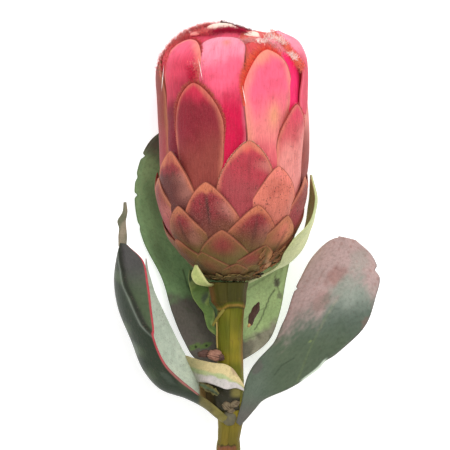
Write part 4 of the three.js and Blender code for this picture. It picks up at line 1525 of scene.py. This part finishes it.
# The left leaf's outer face is folded along a crease, from its tip to its red margin
creasePath = {
    "up": [44, 46.4, 50.8, 56.8, 61.2, 66, 72, 80],
    "at": [-1.1, -1, -0.85, -0.76, -0.69, -0.57, -0.48, -0.2],
}


def pastCrease(t, points):
    return t - np.interp(points[..., 1], creasePath["up"], creasePath["at"])


def leftFold(s, t, points):
    past = pastCrease(t, points)
    live = smoothStep(45, 50, points[..., 1]) * smoothStep(84, 79, points[..., 1])
    room = np.maximum(past - t + 1, 0.05)
    sunk = smoothStep(0, -0.05, past) * np.clip(1 + past / room, 0, 1) ** 0.7
    sunk = sunk * smoothStep(0.05, 0.25, room)
    return live * (0.35 * bell(past, 0.04, 0.035) - 1.5 * sunk)


def leftTones(s, t, points):
    h = leafHues
    up = points[..., 1]
    x, y = seen(points)
    past = pastCrease(t, points)
    live = smoothStep(43, 50, up) * smoothStep(84, 81, up)
    outside = mix(h["darkGreen"], h["deepGreen"], smoothStep(-0.1, 1.1, uneven(x, y, 3, 11)))
    folded = mix(h["deepGreen"], h["slate"], smoothStep(60, 76, up))
    outside = mix(outside, folded, smoothStep(0.02, -0.06, past) * live)
    # Along the crease: a pale line on its ridge, partly the pale waxy midrib and partly a painted
    # highlight, and beside it a near-black line of painted shade in the crease
    outside = overlay(
        outside, h,
        ("greyMint", 0.6 * bell(past, 0.035, 0.02) * live),
        ("dark", 0.95 * bell(past, -0.015, 0.035) * live),
    )
    # Two soft bluish marks on the dark outer face: painted highlights
    outside = drawOn(
        outside, points,
        (-38.5, 41, 3.2, 1.4, -62, "blueGreen", 0.4),
        (-25.5, 29, 4, 1.2, -42, "blueGreen", 0.25),
    )
    margin = mix(h["redMargin"], h["mauveBrown"], 0.8 * smoothStep(-32, -22, x))
    marginLine = smoothStep(-0.01, 0.01, -t - np.interp(x, [-32, -20], [0.975, 0.95]))
    marginLine = marginLine * smoothStep(-12.4, -14, x)
    outside = mix(outside, margin, marginLine)
    husk = mix(h["husk"], h["shadow"], 0.5 * smoothStep(-0.1, 0.6, uneven(x, y, 77, 5)))
    husk = mix(husk, h["olive"], 0.5 * smoothStep(-9, -6, x))
    outside = mix(outside, husk, smoothStep(-13.6, -12, x))
    inside = mix(h["mint"], h["greyMint"], 0.1 * smoothStep(0.2, 0.9, s))
    inside = mix(inside, margin, marginLine)
    husk = mix(h["tan"], h["shadow"], smoothStep(-9.8, -8.2, x + 0.8 * uneven(x, y, 83, 3)))
    inside = mix(inside, husk, 0.95 * smoothStep(-13.6, -12.4, x))
    return outside, drawOn(inside, points, ([(-17, 34.8), (-15.4, 32.4)], 0.5, "dark", 0.8))


def tipTones(s, t, points):
    ragged = uneven(s * 20, t * 3, 8, 9)
    return (mix(leafHues["tornTip"], leafHues["tornTipPale"], smoothStep(-0.5, 0.5, ragged)),)


def spikeTones(s, t, points):
    tone = mix(leafHues["mint"], leafHues["pinkMint"], smoothStep(0.4, 0.9, s))
    return (mix(tone, leafHues["redMargin"], 0.5 * smoothStep(0.9, 1, s)),)


def bandTones(s, t, points):
    h = leafHues
    x, y = seen(points)
    tone = mix(h["cream"], h["stripe"], smoothStep(-0.2, 0.1, t + 0.3 * uneven(x, y, 71, 6)))
    tone = mix(tone, h["pinkMint"], smoothStep(0.1, 0.3, t + 0.2 * uneven(x, y, 72, 5)))
    tone = drawOn(
        tone, points,
        (1.6, 31.6, 2.8, 1.5, -50, "mauveBrown", 0.45),
        (-7, 35.6, 3, 0.7, -12, "tan", 0.5),
    )
    return (tone,)


# The hollow behind the leaf's foot: a dark sheet that stands for the shade there, partly dark dead
# tissue and partly painted shade, with a painted lit patch of olive on its right
def cavityTones(s, t, points):
    h = leafHues
    x, y = seen(points)
    tone = mix(mix(h["tan"], h["dark"], 0.75), h["shadow"], smoothStep(-9, -6, x))
    return (mix(tone, h["olive"], 0.75 * smoothStep(-1.4, 1.4, x) * smoothStep(20.4, 22.2, y)),)


def flapTones(s, t, points):
    h = leafHues
    dry = smoothStep(0.1, 0.7, np.abs(t) + 0.5 * uneven(s * 9, t * 3, 73, 4))
    dark = smoothStep(0, 0.6, uneven(s * 12, t * 4, 75, 5))
    return (overlay(h["deepGreen"], h, ("husk", dry), ("shadow", 0.7 * dark)),)


def rightTones(s, t, points):
    h = leafHues
    x, y = seen(points)
    ragged = 1.6 * uneven(x, y, 6, 9) + 0.8 * uneven(x, y, 7, 4)
    finer = ragged + 1.2 * uneven(x, y, 78, 2.6)
    # above this line the leaf is mauve
    border = np.interp(
        x,
        [18.6, 23.4, 27.8, 35.8, 39, 43.8, 46.6, 51.4, 54, 56.2],
        [46.8, 50, 53.2, 56.4, 61.6, 66, 68.4, 69.2, 66, 60],
    )
    tone = overlay(
        mix(h["deepGreen"], h["blueGreen"], 0.3), h,
        ("blueGreen", smoothStep(40, 56, y + ragged)),
        ("greyMint", 0.75 * smoothStep(52, 64, y + ragged * 1.5) * smoothStep(32, 40, x)),
        ("blueGreen", 0.6 * smoothStep(20, 10, x)),
        ("mauve", 0.9 * smoothStep(-8, 7, y - border + finer * 2)),
    )
    tone = drawOn(
        tone, points,
        (42, 69.5, 5, 3.4, 40, "mauveBrown", 0.6),
        (36, 59.5, 5, 3, 60, "mauveBrown", 0.35),
        (46, 64, 4.6, 6, 0, "greyMint", 0.6),
        (51, 75, 4, 5, 0, "greyMint", 0.35),
        (54.5, 50.4, 2.4, 3, 20, "mauveBrown", 0.4),
        (10.4, 33, 3, 2, 60, "purpleGrey", 0.5),
    )
    flecks = smoothStep(0.3, 0.6, uneven(x, y, 81, 3.4)) * smoothStep(-2, 8, y - border)
    tone = overlay(tone, h, ("purpleGrey", 0.6 * smoothStep(24, 13, y)), ("mauveBrown", 0.4 * flecks))
    tone = drawOn(
        tone, points,
        ([(26, 28), (31, 40), (37, 52), (42, 60)], 0.5, "lime", 0.1),
        (31.4, 43.6, 0.8, 0.4, 30, "lime", 0.35),
        ([(17, 30), (20, 34), (25, 37)], 0.4, "darkGreen", 0.5),
    )
    margin = smoothStep(0.97, 0.99, np.abs(t)) * smoothStep(-0.5, 0.5, np.abs(x - 33) - 6)
    tone = overlay(
        tone, h,
        ("mint", smoothStep(0.9, 0.96, t) * smoothStep(26.5, 29, x) * smoothStep(39, 36.5, x)),
        ("purpleGrey", 0.7 * margin),
    )
    return mix(h["mint"], h["blueGreen"], 0.3), tone


def backTones(s, t, points):
    h = leafHues
    x, y = seen(points)
    ragged = 2 * uneven(x, y, 9, 12) + uneven(x, y, 10, 5)
    shaded = smoothStep(-0.2, 0.7, uneven(x, y, 11, 16)) * smoothStep(4, -4, x)
    tone = overlay(
        h["green"], h,
        ("brightGreen", smoothStep(-2, 8, x)),
        ("deepGreen", 0.45 * shaded),
        ("slate", 0.7 * smoothStep(112, 122, y + ragged * 1.5)),
    )
    # below this line the leaf is stained
    border = np.interp(
        x,
        [-30, -24, -14, -8, 2, 8, 12, 17.4],
        [62, 61.5, 60.5, 56, 45, 46.6, 48.4, 51.6],
    )
    pale = smoothStep(4, 9, x) * smoothStep(-0.9, 0.2, uneven(x, y, 79, 6))
    stain = mix(h["purpleGrey"], h["stainPale"], 0.95 * pale)
    tone = mix(tone, stain, 0.9 * smoothStep(1.8, -2.4, y - border + ragged * 1.2))
    tone = drawOn(
        tone, points,
        (-14.6, 41.2, 2.6, 1.2, 20, "leafGreen", 0.85),
        (-14.3, 41.1, 0.6, 0.5, 0, "dark", 0.9),
        (-10.4, 41.6, 2.6, 1.2, 20, "leafGreen", 0.85),
        (-10.1, 41.5, 0.6, 0.5, 0, "dark", 0.9),
        ([(-19.4, 72), (-17.8, 66), (-14.6, 60), (-8.6, 50)], 0.55, "dark", 0.6),
        ([(9.4, 48), (12.2, 52.8), (15.4, 61.2), (17.4, 64)], 0.4, "dark", 0.7),
        (18.2, 66.8, 1.3, 1.8, 0, "purpleGrey", 0.8),
        (19.4, 61.6, 1, 1.4, 0, "purpleGrey", 0.6),
        ([(17.4, 70), (18.2, 66.8), (19.2, 63)], 0.3, "dark", 0.6),
    )
    # A dark line along the margin: painted shade where the edge curves away
    tone = mix(tone, h["dark"], 0.4 * smoothStep(0.985, 0.997, np.abs(t)))
    return mix(tone, h["mint"], 0.35), tone


def cuppingTones(s, t, points):
    h = leafHues
    edge = smoothStep(0.3, 0.9, np.abs(t)) * smoothStep(0.3, 0.7, s)
    foot = smoothStep(0.6, 0.3, s)
    tone = overlay(h["paleGreen"], h, ("lime", 0.5 * edge), ("leafGreen", 0.3 * foot))
    return tone, mix(tone, h["mint"], 0.15)


def strapTones(s, t, points):
    h = leafHues
    return (overlay(
        h["deepGreen"], h,
        ("leafGreen", smoothStep(-0.6, 0, uneven(s * 40, t * 5, 12, 12))),
        ("lime", 0.6 * smoothStep(0.1, 0.7, uneven(s * 40, t * 5, 13, 9))),
        # Paler edges: painted highlight where the wavy edges catch the light
        ("lime", 0.7 * smoothStep(0.88, 0.96, np.abs(t))),
    ),)


def foldedTones(s, t, points):
    h = leafHues
    # Paler towards the edges: painted rim light
    tone = mix(h["lime"], h["paleGreen"], 0.4 + 0.5 * smoothStep(0.5, 0.9, np.abs(t)))
    return (mix(h["husk"], tone, smoothStep(0.02, 0.3, s)),)


# The blades of each piece: rails, grid, tones, seed, and what else leafPiece takes
leafBlades = {
    "leaf_left": [
        ("left", (190, 90), leftTones, 1, {"fold": leftFold}),
        ("leftTip", (50, 8), tipTones, 2, {}),
        ("leftSpike", (30, 8), spikeTones, 9, {}),
        ("leftBand", (80, 40), bandTones, 3, {}),
        ("leftCavity", (40, 24), cavityTones, 10, {}),
        ("leftFlap", (40, 16), flapTones, 11, {"wave": 0.5, "waves": 2}),
    ],
    "leaf_right": [("right", (220, 92), rightTones, 4, {"wave": 0.8, "waves": 4})],
    "leaf_back": [("back", (220, 100), backTones, 5, {"veins": 9})],
    "leaf_cupping": [("cupping", (100, 40), cuppingTones, 6, {})],
    "leaf_folded": [("folded", (40, 20), foldedTones, 7, {})],
    "leaf_strap": [("strap", (70, 20), strapTones, 8, {"wave": 0.5, "waves": 4})],
}
# Nicks in a blade's edge: share along it, side, how deep, how long
leafNicks = {
    "leftFlap": [
        (0.3, -1, 0.7, 0.05), (0.55, 1, 0.8, 0.04), (0.62, -1, 0.8, 0.04), (0.82, 1, 0.6, 0.05),
    ],
    "right": [
        (0.72, -1, 1, 0.004), (0.985, -1, 0.8, 0.006), (0.86, 1, 1.6, 0.012), (0.5, 1, 0.8, 0.02),
    ],
    "back": [
        (0.83, -1, 1.4, 0.006), (0.7, -1, 1.2, 0.006), (0.76, -1, 0.7, 0.01), (0.6, -1, 0.5, 0.008),
    ],
}
scarPad = {"middle": (-0.9, 13.2, 4.9), "halfAxes": (2.8, 3.1, 1), "rough": 0.05, "seed": 750}


# The scar at the left leaf's foot
def addScarPad(store):
    def tone(local):
        ragged = uneven(local[..., 0] * 3, local[..., 1] * 3, 74, 3)
        return mix(leafHues["padGrey"], leafHues["slate"], 0.3 + 0.3 * ragged)

    p = scarPad
    addLump(store, p["middle"], np.diag(p["halfAxes"]), tone, p["seed"], p["rough"])


def makeLeaves():
    waxy = leafMaterial("leafWax", 0.42, (0.16, 0.2, 0.13))
    green = leafMaterial("leafGreen", 0.45, (0.09, 0.13, 0.07))
    pale = leafMaterial("leafPale", 0.5, (0.55, 0.6, 0.35), 0.08)
    finishes = {
        "leaf_left": (waxy, "leaf_blue_green"),
        "leaf_right": (waxy, "leaf_blue_green"),
        "leaf_back": (green, "leaf_green"),
        "leaf_cupping": (pale, "leaf_pale"),
        "leaf_folded": (pale, "leaf_pale"),
        "leaf_strap": (green, "leaf_green"),
    }
    for name, blades in leafBlades.items():
        store = newStore()
        for shape, grid, tone, seed, more in blades:
            nicks = leafNicks.get(shape, ())
            leafPiece(store, leafShapes[shape], grid, tone, seed, nicks=nicks, **more)
        if name == "leaf_left":
            addScarPad(store)
        makePiece(name + "_blade", store, *finishes[name], name)


makeLeaves()


# Stem: height, across, radius

stemShape = {
    "stations": [
        (-22, -1.5, 4.8), (-5, -1.4, 4.6), (0.2, -1.3, 4.8), (2.6, -1.3, 4.7), (4.4, -1.2, 4.4),
        (9, -0.6, 4.7), (14, -0.2, 5.5), (19, -0.2, 5.7), (26, -0.4, 5.3), (40, -0.6, 5.1),
        (52, -0.4, 5.2), (56, -0.3, 5.4), (57.4, -0.5, 6), (59.2, -1.2, 7), (63, -1.4, 7.4),
        (67.1, -1.4, 8.2),
    ],
    "cutSlope": 0.16,
    "cutHeight": 20,  # the cut end slants from here down
    "barkRadius": 5.3,  # that the bark's pattern goes by
    # a raised line that slants down from the scar ring, and a dry strand under it
    "ridge": {
        "near": [[-3.2, 57.2, 4.6], [-5.2, 54.6, 3.4], [-6.7, 52.2, 1.4], [-7.8, 50.2, 0.2]],
        "far": [[-2.4, 56.2, 4.9], [-4.4, 53.6, 3.8], [-6, 51.2, 1.8], [-7.2, 49.4, 0.4]],
    },
    "strand": {
        "near": [[-6.2, 51.4, 1.6], [-6.1, 48, 1.4], [-6.1, 44, 1.6], [-5.9, 40.8, 2]],
        "far": [[-5.6, 51.4, 1.9], [-5.5, 48, 1.8], [-5.5, 44, 1.9], [-5.3, 40.8, 2.4]],
    },
    "rows": 260,
    "sides": 72,
}
stemHues = palette({
    "olive": (98, 98, 20), "yellow": (138, 122, 32), "green": (84, 90, 16), "brown": (100, 78, 34),
    "rust": (128, 78, 34), "scar": (150, 112, 56), "scarRed": (116, 70, 52), "dark": (52, 46, 16),
    "straw": (170, 150, 84), "cut": (196, 180, 120),
})


# The bark's tone, at heights h and angles a about the stem
def stemTone(h, a, x, z):
    right = np.sin(a)
    ring = np.interp(x, [-3.8, -1.4, 2.6, 4.8, 7], [56.4, 58, 58.2, 57.6, 55.2])  # the scar ring
    above = smoothStep(0, 2, h - ring)
    torn = h + 0.9 * uneven(a * 5, h, 64, 3.4)
    aside = np.abs(x + 1.8) + 1.2 * uneven(a * 5, h, 65, 3)
    front = smoothStep(4.4, 2.6, aside) * smoothStep(0, 2, z)
    return overlay(
        stemHues["olive"], stemHues,
        ("yellow", smoothStep(-0.4, 0.7, uneven(a * 5, h * 0.5, 62, 14))),
        ("green", 0.6 * smoothStep(42, 50, h)),
        ("yellow", 0.6 * smoothStep(4, 0, np.abs(h - 37))),
        ("brown", 0.5 * smoothStep(20, 4, h)),
        ("rust", 0.6 * smoothStep(0.75, 0.97, right) * smoothStep(30, 36, h)),
        # Darker above the scar ring, under the head: partly the bark's own darker colour, partly
        # painted shade
        ("dark", 0.8 * above),
        ("rust", 0.5 * smoothStep(-0.6, -0.9, right) * above),
        ("scar", 0.65 * smoothStep(0.8, 0.2, np.abs(h - ring))),
        ("dark", 0.7 * smoothStep(0.6, 0.2, np.abs(h - ring + 0.9))),
        ("scarRed", 0.9 * front * smoothStep(2.6, 1.8, torn) * smoothStep(-1.4, -0.4, torn)),
        ("dark", 0.8 * front * smoothStep(0.5, 0.1, np.abs(torn - 2.3))),
        ("rust", 0.7 * front * smoothStep(0.5, 0.1, np.abs(torn - 0.6))),
        ("straw", 0.35 * smoothStep(-0.9, -0.98, right) * smoothStep(56, 52, h)),
    )


def stemMaterial():
    material, tree, shader = startMaterial("stemBark", 0.55, {"Specular IOR Level": 0.15})
    along, aside, seed = (attribute(tree, name) for name in ("along", "aside", "seed"))
    slow = combine(tree, "MULTIPLY", along, 0.12)
    lines = grain(tree, patternSpace(tree, slow, aside, seed), 1.6, 5)
    blots = grain(tree, patternSpace(tree, along, aside, seed), 0.35, 4)
    tone = tint(tree, toneOf(tree), lines, 0.5, 0.7, 0.5, (0.7, 0.66, 0.5))
    tone = tint(tree, tone, lines, 0.5, 0.3, 0.4, (1.3, 1.3, 1.2))
    dress(tree, shader, tint(tree, tone, blots, 0.58, 0.74, 0.7, stemHues["brown"], "MIX"))
    relief(tree, shader, lines, 0.0004, 0.8)
    return material


def makeStem():
    p = stemShape
    stations = np.array(p["stations"], float)
    height = np.linspace(stations[0, 0], stations[-1, 0], p["rows"])
    centre = np.interp(height, stations[:, 0], stations[:, 1])[:, None]
    radius = np.interp(height, stations[:, 0], stations[:, 2])[:, None]
    turn = np.linspace(0, 2 * math.pi, p["sides"], endpoint=False)
    h, a = np.meshgrid(height, turn, indexing="ij")
    wide = radius + (0.12 * uneven(a * 5, h, 61, 9) + 0.05 * np.sin(a * 9 + 0.2 * h))
    x = centre + wide * np.sin(a)
    z = wide * np.cos(a)
    cut = p["cutHeight"]
    y = h + np.where(h < -cut, p["cutSlope"] * (x - centre) * (-cut - h) / 2, 0)
    points = np.stack([x, y, z], -1)
    ends = [points[0].mean(0), points[-1].mean(0)]
    tones = np.concatenate([stemTone(h, a, x, z).reshape(-1, 3), [stemHues["cut"]] * 2])
    count, sides = p["rows"] * p["sides"], p["sides"]
    faces = tubeFaces(p["rows"], sides)
    for j in range(sides):
        k = (j + 1) % sides
        faces.append([count, k, j])
        faces.append([count + 1, count - sides + j, count - sides + k])
    values = {
        "along": np.append(h, h[0, :2]),
        "aside": np.append(a, a[0, :2]) * p["barkRadius"],
        "seed": 9,
    }
    store = newStore()
    addPart(store, np.concatenate([points.reshape(-1, 3), ends]), faces, values, tones)
    for name, hue in (("ridge", "olive"), ("strand", "straw")):
        s, t, middle, normal = leafGrid(p[name], 30, 9)
        swell = normal * (0.35 * np.sqrt(np.maximum(1 - t * t, 0.02)))[..., None]
        tone = mix(stemHues[hue], stemHues["straw"], 0.4)
        addSlab(store, middle + swell, middle - swell, {"along": s * 10, "aside": t}, tone)
    makePiece("stem_bark", store, stemMaterial(), "stem", "stem")


makeStem()
